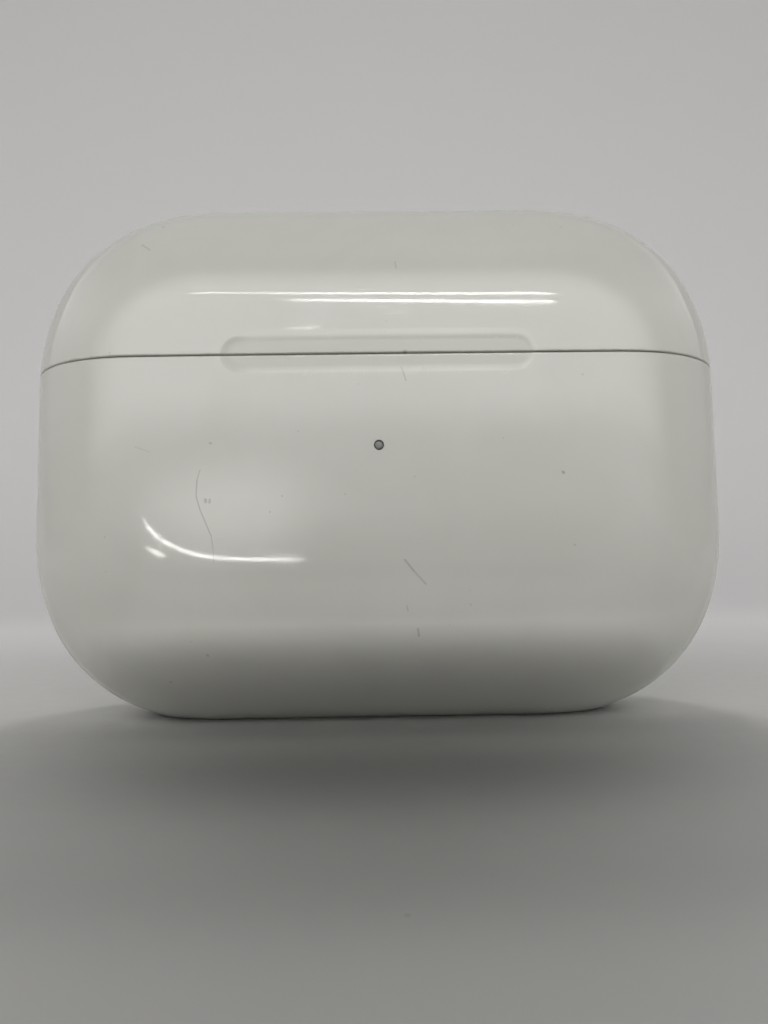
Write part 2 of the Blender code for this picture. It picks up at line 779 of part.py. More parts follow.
# ---- electronics --------------------------------------------------------------------------
def build_electronics():
    # T-shaped board behind the front wall
    board = [
        (-12.0, 7.6),
        (12.0, 7.6),
        (12.0, 18.4),
        (3.1, 18.4),
        (3.1, 25.6),
        (-3.1, 25.6),
        (-3.1, 18.4),
        (-12.0, 18.4),
    ]
    prism("main_board", board, "Y", -8.1, -7.3, "board_green")
    prism(
        "shield_can", rounded(9.0, 7.0, 0.6, (-6.2, 13.4)), "Y", -8.95, -8.2, "port_steel", ease=0.12
    )
    prism(
        "power_chip", rounded(4.2, 4.2, 0.15, (3.6, 13.6), 1), "Y", -8.85, -8.2, "chip_black"
    )
    prism(
        "control_chip", rounded(3.2, 3.2, 0.15, (8.9, 13.8), 1), "Y", -8.8, -8.2, "chip_black"
    )
    prism(
        "lid_sensor_chip", rounded(1.7, 1.3, 0.1, (0, 24.6), 1), "Y", -8.7, -8.2, "chip_black"
    )
    prism(
        "cell_connector", rounded(4.4, 1.6, 0.2, (-6.0, 16.9), 1), "Y", -7.2, -6.35, "chip_black"
    )
    # two pouch cells, rounded where they follow the shell's lower corners
    for side, word in ((-1, "left"), (1, "right")):
        x0, x1, z0, z1, r = 14.1, 24.6, 3.7, 18.6, 9.3
        pts = [(x0, z1 - 0.6), (x0, z0 + 0.5), (x0 + 0.5, z0)]
        for i in range(7):
            a = math.radians(-90 + 90 * i / 6)
            pts.append((x1 - r + r * math.cos(a), z0 + r + r * math.sin(a)))
        pts += [(x1, z1 - 0.6), (x1 - 0.6, z1), (x0 + 0.6, z1)]
        pts = [(side * x, z) for x, z in pts]
        prism(f"cell_{word}", pts, "Y", -5.6, 5.6, "cell_foil", ease=0.5)
    # charging coil, and the ferrite sheet behind it
    centre = (0, 14.9)
    tube(
        "charging_coil",
        rounded(31.0, 14.2, 7.0, centre, 5),
        rounded(15.0, 8.6, 4.2, centre, 5),
        "Y",
        8.3,
        8.8,
        "copper",
    )
    tube(
        "ferrite_sheet",
        rounded(32.0, 15.0, 7.4, centre, 5),
        rounded(13.4, 7.6, 3.7, centre, 5),
        "Y",
        7.75,
        8.05,
        "ferrite",
    )


def build_magnets():
    for side, word in ((-1, "left"), (1, "right")):
        x = side * 14.8
        prism(
            f"closure_magnet_base_{word}",
            rounded(8.0, 3.2, 0.4, (x, 25.9)),
            "Y",
            -9.3,
            -8.15,
            "magnet_nickel",
            ease=0.15,
        )
        prism(
            f"closure_magnet_lid_{word}",
            rounded(8.0, 2.6, 0.4, (x, 33.2)),
            "Y",
            -9.0,
            -8.0,
            "magnet_nickel",
            ease=0.15,
        )
        prism(
            f"seat_magnet_{word}",
            rounded(4.6, 7.0, 0.4, (side * STEM_X, 14.4)),
            "Y",
            -6.3,
            -5.1,
            "magnet_nickel",
            ease=0.15,
        )
    prism(
        "sensor_magnet",
        rounded(3.0, 2.0, 0.3, (0, 33.0)),
        "Y",
        -8.7,
        -7.2,
        "magnet_nickel",
        ease=0.15,
    )


def hang_lid():
    """The lid's pieces hang on one empty, which sits on the hinge axis."""
    pivot = bpy.data.objects.new("lid_pivot", None)
    pivot.empty_display_size = 5 * MM
    pivot.location = (0, HINGE_Y * MM, HINGE_Z * MM)
    bpy.context.scene.collection.objects.link(pivot)
    pieces = ["lid_shell", "lid_liner", "hinge_lid_bracket", "sensor_magnet"]
    for word in ("left", "right"):
        pieces += [f"hinge_screw_lid_{word}", f"closure_magnet_lid_{word}"]
    for name in pieces:
        obj = bpy.data.objects[name]
        for mod in obj.modifiers:
            mod.object.parent = pivot
            mod.object.location -= pivot.location
        obj.parent = pivot
        obj.location -= pivot.location


def main():
    for obj in list(bpy.data.objects):
        bpy.data.objects.remove(obj)
    build_shells()
    build_cradle()
    build_liner()
    build_hinge()
    build_button()
    build_light()
    build_port()
    build_contacts()
    build_electronics()
    build_magnets()
    hang_lid()


main()
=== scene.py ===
"""Visual model of the wireless earbuds case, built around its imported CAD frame.

Lengths are in millimetres until mesh_object() turns them to metres.  The case stands
on its foot with the front (status light) towards -Y and the hinge towards +Y.
"""

import json
import math

import bmesh
import bpy
import numpy as np
from mathutils import Matrix, Vector


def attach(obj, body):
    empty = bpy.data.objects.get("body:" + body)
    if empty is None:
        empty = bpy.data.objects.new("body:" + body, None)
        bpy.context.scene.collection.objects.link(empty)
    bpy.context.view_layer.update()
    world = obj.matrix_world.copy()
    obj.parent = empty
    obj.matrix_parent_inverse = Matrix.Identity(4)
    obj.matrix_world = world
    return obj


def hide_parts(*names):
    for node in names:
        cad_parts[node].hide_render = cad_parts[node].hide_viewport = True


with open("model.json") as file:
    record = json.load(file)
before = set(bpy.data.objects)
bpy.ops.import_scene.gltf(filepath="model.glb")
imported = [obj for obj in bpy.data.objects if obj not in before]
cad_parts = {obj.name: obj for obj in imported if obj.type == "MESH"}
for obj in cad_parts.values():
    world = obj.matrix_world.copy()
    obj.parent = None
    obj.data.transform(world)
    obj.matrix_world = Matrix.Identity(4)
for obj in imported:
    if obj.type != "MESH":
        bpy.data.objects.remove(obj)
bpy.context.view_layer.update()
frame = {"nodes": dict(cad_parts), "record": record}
MM = 0.001

# ---- dimensions shared with the CAD -------------------------------------------------
HX, HY, HEIGHT = 30.3, 10.85, 45.2
CORNER_R, CORNER_N = 17.5, 2.34
EDGE_S, EDGE_P = 11.5, 2.4
CROWN, FOOT_CUT, WALL = 0.3, 0.8, 1.2
SEAM_Z, SEAM_GAP = 29.45, 0.3
BASE_RIM, LID_RIM = SEAM_Z - SEAM_GAP / 2, SEAM_Z + SEAM_GAP / 2
LIP_GAP = 0.14            # the line between the two shells as it shows on the real case
BASE_LIP, LID_LIP = SEAM_Z - LIP_GAP / 2, SEAM_Z + LIP_GAP / 2
RECESS_W, RECESS_H, RECESS_D = 24.9, 3.0, 0.034
LED_Z, LED_R = 22.08, 0.36
HINGE_Y, HINGE_Z, HINGE_HALF = 9.2, 27.2, 8.9
KNUCKLE_R, PIN_HOLE_R, MID_KNUCKLE = 1.6, 0.57, 4.7
SWEEP_CLEAR = 0.05
NOTCH_HALF, NOTCH_Z = 9.2, 25.35
BUTTON_Z, BUTTON_R = 14.5, 2.7
HEAD_X, STEM_X, STEM_Y = 15.0, 8.2, 0.6
CRADLE_TOP = 29.0
STEM_FLOOR = 10.0
TRAY_WALL = 0.9
PIN_PITCH, CONTACT_R = 2.6, 0.45
ZC, Z_TOP, Z_LOW = HEIGHT / 2, HEIGHT, -FOOT_CUT
Z_MID = (Z_TOP + Z_LOW) / 2
Z_HALF = (Z_TOP - Z_LOW) / 2


# ---- the outer form ------------------------------------------------------------------
def half_width(z, off=0.0):
    r = CORNER_R - off
    u = min(max(abs(z - Z_MID) - (Z_HALF - off - r), 0.0) / r, 1.0)
    return (HX - off - r) + r * (1 - u**CORNER_N) ** (1 / CORNER_N)


def edge_share(x, z, off=0.0):
    """How far in from the outline a point is, as a share of the rounded edge (1 inside)."""
    r = CORNER_R - off
    ux = np.maximum(np.abs(x) - (HX - off - r), 0.0) / r
    uz = np.maximum(np.abs(z - Z_MID) - (Z_HALF - off - r), 0.0) / r
    g = (ux**CORNER_N + uz**CORNER_N) ** (1 / CORNER_N)
    return r * (1 - g) / (EDGE_S - off)


def top_depth(x, z, off=0.0):
    crown = CROWN * (1 - (x / HX) ** 2) * (1 - ((z - ZC) / ZC) ** 2)
    return HY - off - CROWN + crown


def half_depth(x, z, off=0.0):
    t = np.clip(edge_share(x, z, off), 0.0, 1.0)
    return top_depth(x, z, off) * np.sqrt(np.maximum(1 - (1 - t) ** EDGE_P, 0.0))


def form_distance(x, y, z, off=0.0):
    """Roughly the signed distance to the form drawn in by off, negative inside."""
    t = np.minimum(edge_share(x, z, off), 1.0)
    f = (y / top_depth(x, z, off)) ** 2 + (1 - t) ** EDGE_P
    return (np.sqrt(np.maximum(f, 0.0)) - 1) * (HY - off)


def smooth01(v):
    v = np.clip(v, 0.0, 1.0)
    return v * v * (3 - 2 * v)


def recess_depth(x, z):
    """The thumb recess: a shallow stadium across the seam with soft shoulders."""
    r = RECESS_H / 2
    ax = np.maximum(np.abs(x) - (RECESS_W / 2 - r), 0.0)
    sd = np.hypot(ax, z - SEAM_Z) - r
    return RECESS_D * smooth01((0.06 - sd) / 0.55)


# x stations of a quarter section: fine over the recess ends, then closing on the outline
FLAT_X = np.concatenate(
    [np.linspace(0, 10.4, 14)[:-1], np.arange(10.4, 12.7, 0.1)]
)
ROUND_STEPS = 46


def stations(z, off):
    xo = half_width(z, off)
    start = FLAT_X[-1]
    turn = np.sin(np.linspace(0, math.pi / 2, ROUND_STEPS + 1))[1:]
    return np.concatenate([FLAT_X, start + max(xo - start, 0.01) * turn])


def section(z, off=0.0, recess=False):
    xs = stations(z, off)
    ys = half_depth(xs, z, off)
    ys[-1] = 0.0
    front = ys.copy()
    if recess:
        front = front - recess_depth(xs, z)
    back = np.stack([xs[::-1], ys[::-1]], 1)
    back_left = np.stack([-xs[1:], ys[1:]], 1)
    front_left = np.stack([-xs[-2::-1], -front[-2::-1]], 1)
    front_right = np.stack([xs[1:-1], -front[1:-1]], 1)
    loop = np.concatenate([back, back_left, front_left, front_right])
    return np.column_stack([loop, np.full(len(loop), z)])


# ---- mesh helpers -----------------------------------------------------------------------
def mesh_object(name, verts, faces, mat=None, sharp=40.0, weld=1e-8):
    """A piece from millimetre vertices, placed in the row frame."""
    mesh = bpy.data.meshes.new(name)
    mesh.from_pydata((np.asarray(verts, float) * MM).tolist(), [], faces)
    bm = bmesh.new()
    bm.from_mesh(mesh)
    bmesh.ops.remove_doubles(bm, verts=bm.verts, dist=weld)
    bmesh.ops.dissolve_degenerate(bm, edges=bm.edges, dist=weld)
    bmesh.ops.recalc_face_normals(bm, faces=bm.faces)
    bm.to_mesh(mesh)
    bm.free()
    finish_mesh(mesh, sharp)
    obj = bpy.data.objects.new(name, mesh)
    bpy.context.scene.collection.objects.link(obj)
    if mat:
        mesh.materials.append(mat)
    return obj


def finish_mesh(mesh, sharp):
    mesh.shade_smooth()
    if sharp:
        mesh.set_sharp_from_angle(angle=math.radians(sharp))


def loft(loops, cap_start=True, cap_end=True):
    n = len(loops[0])
    verts = np.concatenate([np.asarray(loop, float) for loop in loops])
    faces = []
    for k in range(len(loops) - 1):
        a, b = k * n, (k + 1) * n
        faces += [(a + i, a + (i + 1) % n, b + (i + 1) % n, b + i) for i in range(n)]
    if cap_start:
        faces.append(tuple(range(n - 1, -1, -1)))
    if cap_end:
        last = (len(loops) - 1) * n
        faces.append(tuple(range(last, last + n)))
    return verts, faces


def place(axis, p, level):
    if axis == "X":
        return (level, p[0], p[1])
    if axis == "Y":
        return (p[0], level, p[1])
    return (p[0], p[1], level)


def levelled(axis, pairs):
    """Loops from (level, profile) pairs."""
    return [[place(axis, p, level) for p in pts] for level, pts in pairs]


def circle(r, n=48, c=(0, 0)):
    a = np.linspace(0, 2 * math.pi, n, endpoint=False)
    return [(c[0] + r * math.cos(t), c[1] + r * math.sin(t)) for t in a]


def rounded(w, h, r, c=(0, 0), seg=8):
    r = max(min(r, w / 2 - 1e-4, h / 2 - 1e-4), 1e-3)
    pts = []
    for qx, qy, a0 in ((1, 1, 0), (-1, 1, 90), (-1, -1, 180), (1, -1, 270)):
        for i in range(seg + 1):
            a = math.radians(a0 + 90 * i / seg)
            pts.append(
                (
                    c[0] + qx * (w / 2 - r) + r * math.cos(a),
                    c[1] + qy * (h / 2 - r) + r * math.sin(a),
                )
            )
    return pts


def stadium(w, h, c=(0, 0), seg=14):
    return rounded(w, h, h / 2, c, seg)


def lathe(axis, c, rings, n=48):
    """Loops of circles about (c) along an axis from (level, radius) pairs."""
    return levelled(axis, [(level, circle(r, n, c)) for level, r in rings])


def join(name, objs):
    """Helper meshes that don't touch, made one mesh."""
    bm = bmesh.new()
    for obj in objs:
        bm.from_mesh(obj.data)
        bpy.data.objects.remove(obj)
    mesh = bpy.data.meshes.new(name)
    bm.to_mesh(mesh)
    bm.free()
    obj = bpy.data.objects.new(name, mesh)
    bpy.context.scene.collection.objects.link(obj)
    return obj


def carve(obj, other, operation="DIFFERENCE", sharp=35.0):
    """Applies a Boolean with other, which is then removed."""
    mod = obj.modifiers.new("cut", "BOOLEAN")
    mod.operation, mod.solver, mod.object = operation, "EXACT", other
    bake(obj)
    bpy.data.objects.remove(other)
    finish_mesh(obj.data, sharp)
    return obj


def bake(obj):
    """The object's modifiers, applied."""
    graph = bpy.context.evaluated_depsgraph_get()
    graph.update()
    mesh = bpy.data.meshes.new_from_object(obj.evaluated_get(graph))
    mats = [m for m in obj.data.materials]
    obj.modifiers.clear()
    old = obj.data
    obj.data = mesh
    mesh.materials.clear()
    for m in mats:
        mesh.materials.append(m)
    bpy.data.meshes.remove(old)


def bevel(obj, width, segments=2, angle=40.0):
    mod = obj.modifiers.new("bevel", "BEVEL")
    mod.width, mod.segments = width * MM, segments
    mod.limit_method, mod.angle_limit = "ANGLE", math.radians(angle)
    mod.harden_normals = False
    bake(obj)
    finish_mesh(obj.data, 50.0)
    return obj


# ---- implicit bodies ---------------------------------------------------------------------
def smin(a, b, k):
    h = np.clip(0.5 + 0.5 * (b - a) / k, 0, 1)
    return b + (a - b) * h - k * h * (1 - h)


def smax(a, b, k):
    return -smin(-a, -b, k)


def bowl(x, y, z, cx, cy, ax, ay, z_ref, depth, power, up=False):
    """Signed distance, roughly, to a straight-sided pocket that closes in a rounded floor."""
    px, py = np.abs(x - cx) / ax, np.abs(y - cy) / ay
    w = np.maximum((z - z_ref) if up else (z_ref - z), 0) / depth
    q = (px**power + py**power + w**power) ** (1 / power)
    q = np.maximum(q, 1e-3)
    grad = np.sqrt(
        (px ** (power - 1) / ax) ** 2
        + (py ** (power - 1) / ay) ** 2
        + (w ** (power - 1) / depth) ** 2
    ) * q ** (1 - power)
    return (q - 1) / np.maximum(grad, 0.05)


def cradle_field(p):
    x, y, z = p[:, 0], p[:, 1], p[:, 2]
    ax = np.abs(x)
    side = form_distance(x, y, z, WALL + 0.25)
    plate = smax(side, np.abs(z - (CRADLE_TOP - 0.6)) - 0.6, 0.25)
    head = bowl(ax, y, z, HEAD_X, 0, 10.2, 7.0, 27.0, 7.1, 2.6)
    stem = bowl(ax, y, z, STEM_X, STEM_Y, 4.35, 4.35, 16.0, 6.0, 2.4)
    pocket = smin(head, stem, 0.9)
    cup = smax(pocket - TRAY_WALL, z - (CRADLE_TOP - 0.5), 0.2)
    f = smin(plate, cup, 0.5)
    # the pocket's mouth opens with a soft lip
    lip = pocket - 0.45 * smooth01((z - (CRADLE_TOP - 0.7)) / 0.9) ** 2
    f = smax(f, -lip, 0.3)
    f = smax(f, -(z - (CRADLE_TOP + 0.02)) * -1, 0.2)
    for end in (-1, 1):
        hole = np.hypot(ax - STEM_X, y - (STEM_Y + end * PIN_PITCH / 2)) - (CONTACT_R + 0.15)
        hole = np.maximum(hole, z - 12.5)
        f = smax(f, -hole, 0.12)
    # room for the hinge barrel
    qx, qy = ax - 8.7, (HINGE_Y - KNUCKLE_R - 0.45) - y + 1.0
    room = np.hypot(np.maximum(qx, 0), np.maximum(qy, 0)) + np.minimum(np.maximum(qx, qy), 0) - 1.0
    return smax(f, -room, 0.15)


def liner_field(p):
    x, y, z = p[:, 0], p[:, 1], p[:, 2]
    ax = np.abs(x)
    low = LID_RIM + 0.5
    side = form_distance(x, y, z, WALL + 0.25)
    plate = smax(side, np.abs(z - (low + 0.55)) - 0.55, 0.25)
    dome = bowl(ax, y, z, 14.9, 0, 10.3, 6.9, 33.0, 7.7, 2.35, up=True)
    cup = smax(dome - TRAY_WALL, (low + 0.5) - z, 0.2)
    f = smin(plate, cup, 0.5)
    lip = dome - 0.45 * smooth01(((low + 0.7) - z) / 0.9) ** 2
    f = smax(f, -lip, 0.3)
    qx, qy = ax - 8.5, 7.75 - y + 1.0
    room = np.hypot(np.maximum(qx, 0), np.maximum(qy, 0)) + np.minimum(np.maximum(qx, qy), 0) - 1.0
    return smax(f, -room, 0.15)


def surface_net(field, lo, hi, h):
    """A quad mesh of field = 0 over a box, with its vertices pulled onto the surface."""
    axes = [np.arange(lo[k], hi[k] + h, h) for k in range(3)]
    nx, ny, nz = (len(a) for a in axes)
    grid = np.stack(np.meshgrid(*axes, indexing="ij"), -1).reshape(-1, 3)
    f = np.concatenate([field(grid[i : i + 400000]) for i in range(0, len(grid), 400000)])
    f = f.reshape(nx, ny, nz)
    inside = f < 0
    count = np.zeros((nx - 1, ny - 1, nz - 1), int)
    corners = [(i, j, k) for i in (0, 1) for j in (0, 1) for k in (0, 1)]
    for i, j, k in corners:
        count += inside[i : nx - 1 + i, j : ny - 1 + j, k : nz - 1 + k]
    active = (count > 0) & (count < 8)
    index = np.full(active.shape, -1)
    index[active] = np.arange(active.sum())
    cell = np.argwhere(active)
    total = np.zeros((len(cell), 3))
    hits = np.zeros(len(cell))
    for a in corners:
        for axis in range(3):
            if a[axis]:
                continue
            b = list(a)
            b[axis] = 1
            fa = f[cell[:, 0] + a[0], cell[:, 1] + a[1], cell[:, 2] + a[2]]
            fb = f[cell[:, 0] + b[0], cell[:, 1] + b[1], cell[:, 2] + b[2]]
            cross = (fa < 0) != (fb < 0)
            t = np.where(cross, fa / np.where(cross, fa - fb, 1), 0)
            point = np.array(a, float) + t[:, None] * (np.array(b) - np.array(a))
            total += np.where(cross[:, None], point, 0)
            hits += cross
    verts = (cell + total / hits[:, None]) * h + np.array([a[0] for a in axes])
    faces = []
    for axis in range(3):
        u, v = [(1, 2), (2, 0), (0, 1)][axis]
        lo_s = [slice(None)] * 3
        hi_s = [slice(None)] * 3
        lo_s[axis], hi_s[axis] = slice(0, -1), slice(1, None)
        change = inside[tuple(lo_s)] != inside[tuple(hi_s)]
        at = np.argwhere(change)
        at = at[(at[:, u] > 0) & (at[:, v] > 0) & (at[:, u] < f.shape[u] - 1) & (at[:, v] < f.shape[v] - 1)]
        du, dv = np.eye(3, dtype=int)[u], np.eye(3, dtype=int)[v]
        quad = np.stack(
            [index[tuple((at - d).T)] for d in (du * 0, du, du + dv, dv)], 1
        )
        outward = inside[tuple(at.T)]
        quad[outward] = quad[outward][:, ::-1]
        faces.append(quad)
    faces = np.concatenate(faces)
    eps = 0.01
    for _ in range(5):
        value = field(verts)
        grad = np.stack(
            [
                (field(verts + eps * e) - field(verts - eps * e)) / (2 * eps)
                for e in np.eye(3)
            ],
            1,
        )
        size = np.maximum((grad**2).sum(1), 0.05)
        step = -(value / size)[:, None] * grad
        length = np.linalg.norm(step, axis=1, keepdims=True)
        verts = verts + step * np.minimum(1, 0.4 * h / np.maximum(length, 1e-9))
    return verts, faces.tolist()


# ---- materials ------------------------------------------------------------------------
class Nodes:
    """A Principled material and short ways to add nodes to it. Coordinates are in mm."""

    def __init__(self, name):
        self.mat = bpy.data.materials.new(name)
        self.mat.use_nodes = True
        self.tree = self.mat.node_tree
        self.bsdf = self.tree.nodes["Principled BSDF"]
        coord = self.add("ShaderNodeTexCoord")
        scale = self.add("ShaderNodeVectorMath", operation="SCALE")
        scale.inputs["Scale"].default_value = 1000.0
        self.link(coord.outputs["Object"], scale.inputs[0])
        self.p = scale.outputs[0]

    def add(self, kind, **settings):
        node = self.tree.nodes.new(kind)
        for key, value in settings.items():
            setattr(node, key, value)
        return node

    def link(self, a, b):
        self.tree.links.new(a, b)

    def put(self, value, socket):
        if hasattr(value, "links"):
            self.link(value, socket)
        else:
            socket.default_value = value

    def math(self, op, *values, clamp=False):
        node = self.add("ShaderNodeMath", operation=op, use_clamp=clamp)
        for value, socket in zip(values, node.inputs):
            self.put(value, socket)
        return node.outputs[0]

    def vmath(self, op, *values, out=0):
        node = self.add("ShaderNodeVectorMath", operation=op)
        for value, socket in zip(values, node.inputs):
            self.put(value, socket)
        return node.outputs[out]

    def stretch(self, x, y, z, turn=(0, 0, 0)):
        node = self.add("ShaderNodeMapping")
        node.inputs["Scale"].default_value = (x, y, z)
        node.inputs["Rotation"].default_value = turn
        self.link(self.p, node.inputs["Vector"])
        return node.outputs[0]

    def noise(self, scale, detail=3.0, rough=0.55, warp=0.0, at=None):
        node = self.add("ShaderNodeTexNoise")
        self.link(at or self.p, node.inputs["Vector"])
        node.inputs["Scale"].default_value = scale
        node.inputs["Detail"].default_value = detail
        node.inputs["Roughness"].default_value = rough
        node.inputs["Distortion"].default_value = warp
        return node.outputs["Fac"] if "Fac" in node.outputs else node.outputs[0]

    def cells(self, scale, at=None, feature="F1", random=1.0):
        node = self.add("ShaderNodeTexVoronoi", feature=feature)
        self.link(at or self.p, node.inputs["Vector"])
        node.inputs["Scale"].default_value = scale
        node.inputs["Randomness"].default_value = random
        return node.outputs["Distance"]

    def wave(self, scale, at=None, warp=0.0, kind="BANDS", direction="X"):
        node = self.add("ShaderNodeTexWave", wave_type=kind, bands_direction=direction)
        self.link(at or self.p, node.inputs["Vector"])
        node.inputs["Scale"].default_value = scale
        node.inputs["Distortion"].default_value = warp
        return node.outputs["Fac"] if "Fac" in node.outputs else node.outputs[1]

    def span(self, value, a, b, to_a=0.0, to_b=1.0, smooth=True):
        """value from a..b to to_a..to_b, held outside."""
        node = self.add("ShaderNodeMapRange", interpolation_type="SMOOTHSTEP" if smooth else "LINEAR")
        self.put(value, node.inputs["Value"])
        node.inputs["From Min"].default_value = a
        node.inputs["From Max"].default_value = b
        node.inputs["To Min"].default_value = to_a
        node.inputs["To Max"].default_value = to_b
        return node.outputs["Result"]

    def mix(self, fac, a, b):
        node = self.add("ShaderNodeMix", data_type="RGBA")
        sockets = [s for s in node.inputs if s.type == "RGBA"]
        self.put(fac, node.inputs[0])
        self.put(a, sockets[0])
        self.put(b, sockets[1])
        return [s for s in node.outputs if s.type == "RGBA"][0]

    def split(self):
        node = self.add("ShaderNodeSeparateXYZ")
        self.link(self.p, node.inputs[0])
        return node.outputs

    def bump(self, height, depth, strength=1.0, normal=None):
        """depth in mm between height 0 and height 1."""
        node = self.add("ShaderNodeBump")
        node.inputs["Strength"].default_value = strength
        node.inputs["Distance"].default_value = depth * MM
        self.link(height, node.inputs["Height"])
        if normal is not None:
            self.link(normal, node.inputs["Normal"])
        return node.outputs[0]

    def segment(self, a, b, width, soft, front=True):
        """1 on a short line from a to b, both (x, z) on the front face, 0 away from it."""
        flat = self.add("ShaderNodeVectorMath", operation="MULTIPLY")
        self.link(self.p, flat.inputs[0])
        flat.inputs[1].default_value = (1, 0, 1)
        ax, az = a
        d = (b[0] - ax, 0, b[1] - az)
        size = d[0] ** 2 + d[2] ** 2
        rel = self.vmath("SUBTRACT", flat.outputs[0], (ax, 0, az))
        along = self.vmath("DOT_PRODUCT", rel, d, out=1)
        t = self.math("DIVIDE", along, max(size, 1e-6), clamp=True)
        node = self.add("ShaderNodeVectorMath", operation="SCALE")
        node.inputs[0].default_value = d
        self.link(t, node.inputs["Scale"])
        near = self.vmath("DISTANCE", rel, node.outputs[0], out=1)
        return self.span(near, width, width + soft, 1.0, 0.0)

    def done(self, **values):
        for key, value in values.items():
            self.put(value, self.bsdf.inputs[key.replace("_", " ")])
        return self.mat


def shell_material(name, colour_a, colour_b, marks=True):
    """Glossy moulded polycarbonate, handled: smudges, fine wear lines and a little dust, with grime and painted shade
    along the seam and painted shade in the thumb recess.
    """
    m = Nodes(name)
    x, y, z = m.split()
    tint = m.noise(0.09, 3.0, 0.6, 0.6)
    colour = m.mix(m.span(tint, 0.35, 0.68), colour_a, colour_b)
    smudge = m.noise(0.16, 4.0, 0.62, 1.4)
    prints = m.noise(0.55, 3.0, 0.7, 2.0)
    rough = m.math(
        "ADD",
        m.span(smudge, 0.38, 0.72, 0.030, 0.058),
        m.span(prints, 0.5, 0.75, 0.0, 0.022),
    )
    # fine wear lines in two directions
    lines_a = m.noise(1.0, 2.0, 0.5, 0.4, m.stretch(0.22, 1.4, 6.5, (0, 0.5, 0)))
    lines_b = m.noise(1.0, 2.0, 0.5, 0.3, m.stretch(5.5, 1.6, 0.20, (0, -0.35, 0)))
    wear = m.math("ADD", m.span(lines_a, 0.66, 0.74), m.span(lines_b, 0.67, 0.75))
    rough = m.math("ADD", rough, m.math("MULTIPLY", wear, 0.05))
    # dust: small soft specks, thinned out by a slow mask
    dust_at = m.cells(0.62)
    dust = m.math(
        "MULTIPLY",
        m.span(dust_at, 0.035, 0.075, 1.0, 0.0),
        m.span(m.noise(0.21, 2.0), 0.52, 0.60),
    )
    colour = m.mix(m.math("MULTIPLY", dust, 0.35), colour, (0.36, 0.34, 0.30, 1))
    if marks:
        colour = front_marks(m, colour, y)
        # a trace of grime and painted shade where the two shells meet, darker just along the seam
        off_seam = m.math("ABSOLUTE", m.math("SUBTRACT", z, SEAM_Z))
        patchy = m.span(m.noise(0.8, 3.0, 0.6, 0.5), 0.35, 0.65, 0.15, 0.5)
        # the flat faces of the rims get none of this grime and painted shade
        coord = m.add("ShaderNodeTexCoord")
        turned = m.add("ShaderNodeSeparateXYZ")
        m.link(coord.outputs["Normal"], turned.inputs[0])
        outside = m.span(m.math("ABSOLUTE", turned.outputs["Z"]), 0.45, 0.9, 1.0, 0.0)
        patchy = m.math("MULTIPLY", patchy, outside)
        seam_grime_and_shade = m.math("MULTIPLY", m.span(off_seam, 0.10, 0.24, 1.0, 0.0), patchy)
        colour = m.mix(seam_grime_and_shade, colour, (0.40, 0.385, 0.34, 1))
        # painted shade in the thumb recess and in the shoulder at its left end, placed by the distance to the recess
        # outline
        ax = m.math("MAXIMUM", m.math("SUBTRACT", m.math("ABSOLUTE", x), RECESS_W / 2 - RECESS_H / 2), 0.0)
        ring = m.math("SUBTRACT", m.math("SQRT", m.math("ADD", m.math("POWER", ax, 2.0), m.math("POWER", off_seam, 2.0))), RECESS_H / 2)
        # the recess is painted darker than the face round it: painted shade
        face = m.math("MULTIPLY", m.span(y, -8.0, -6.0, 1.0, 0.0), outside)
        inside = m.math("MULTIPLY", m.span(ring, -0.35, 0.02, 0.24, 0.0), face)
        colour = m.mix(inside, colour, (0.40, 0.40, 0.33, 1))
        # a soft grey crescent inside its left end: painted shade on the recess wall
        recess_end_shade = m.math("MULTIPLY", m.span(ring, -1.1, -0.1), m.span(ring, -0.1, 0.08, 1.0, 0.0))
        recess_end_shade = m.math("MULTIPLY", recess_end_shade, m.span(x, -12.0, -9.6, 0.34, 0.0))
        colour = m.mix(m.math("MULTIPLY", recess_end_shade, face), colour, (0.36, 0.35, 0.30, 1))
        # and its shoulder is rubbed dull
        rubbed = m.math("MULTIPLY", m.span(ring, -0.7, -0.35), m.span(ring, 0.25, 0.6, 0.22, 0.0))
        rough = m.math("ADD", rough, m.math("MULTIPLY", rubbed, face))
    peel = m.noise(0.9, 2.0, 0.5)
    normal = m.bump(peel, 0.0012, 0.6)
    normal = m.bump(wear, -0.0012, 0.5, normal)
    return m.done(
        Base_Color=colour,
        Roughness=rough,
        Normal=normal,
        IOR=1.5,
    )


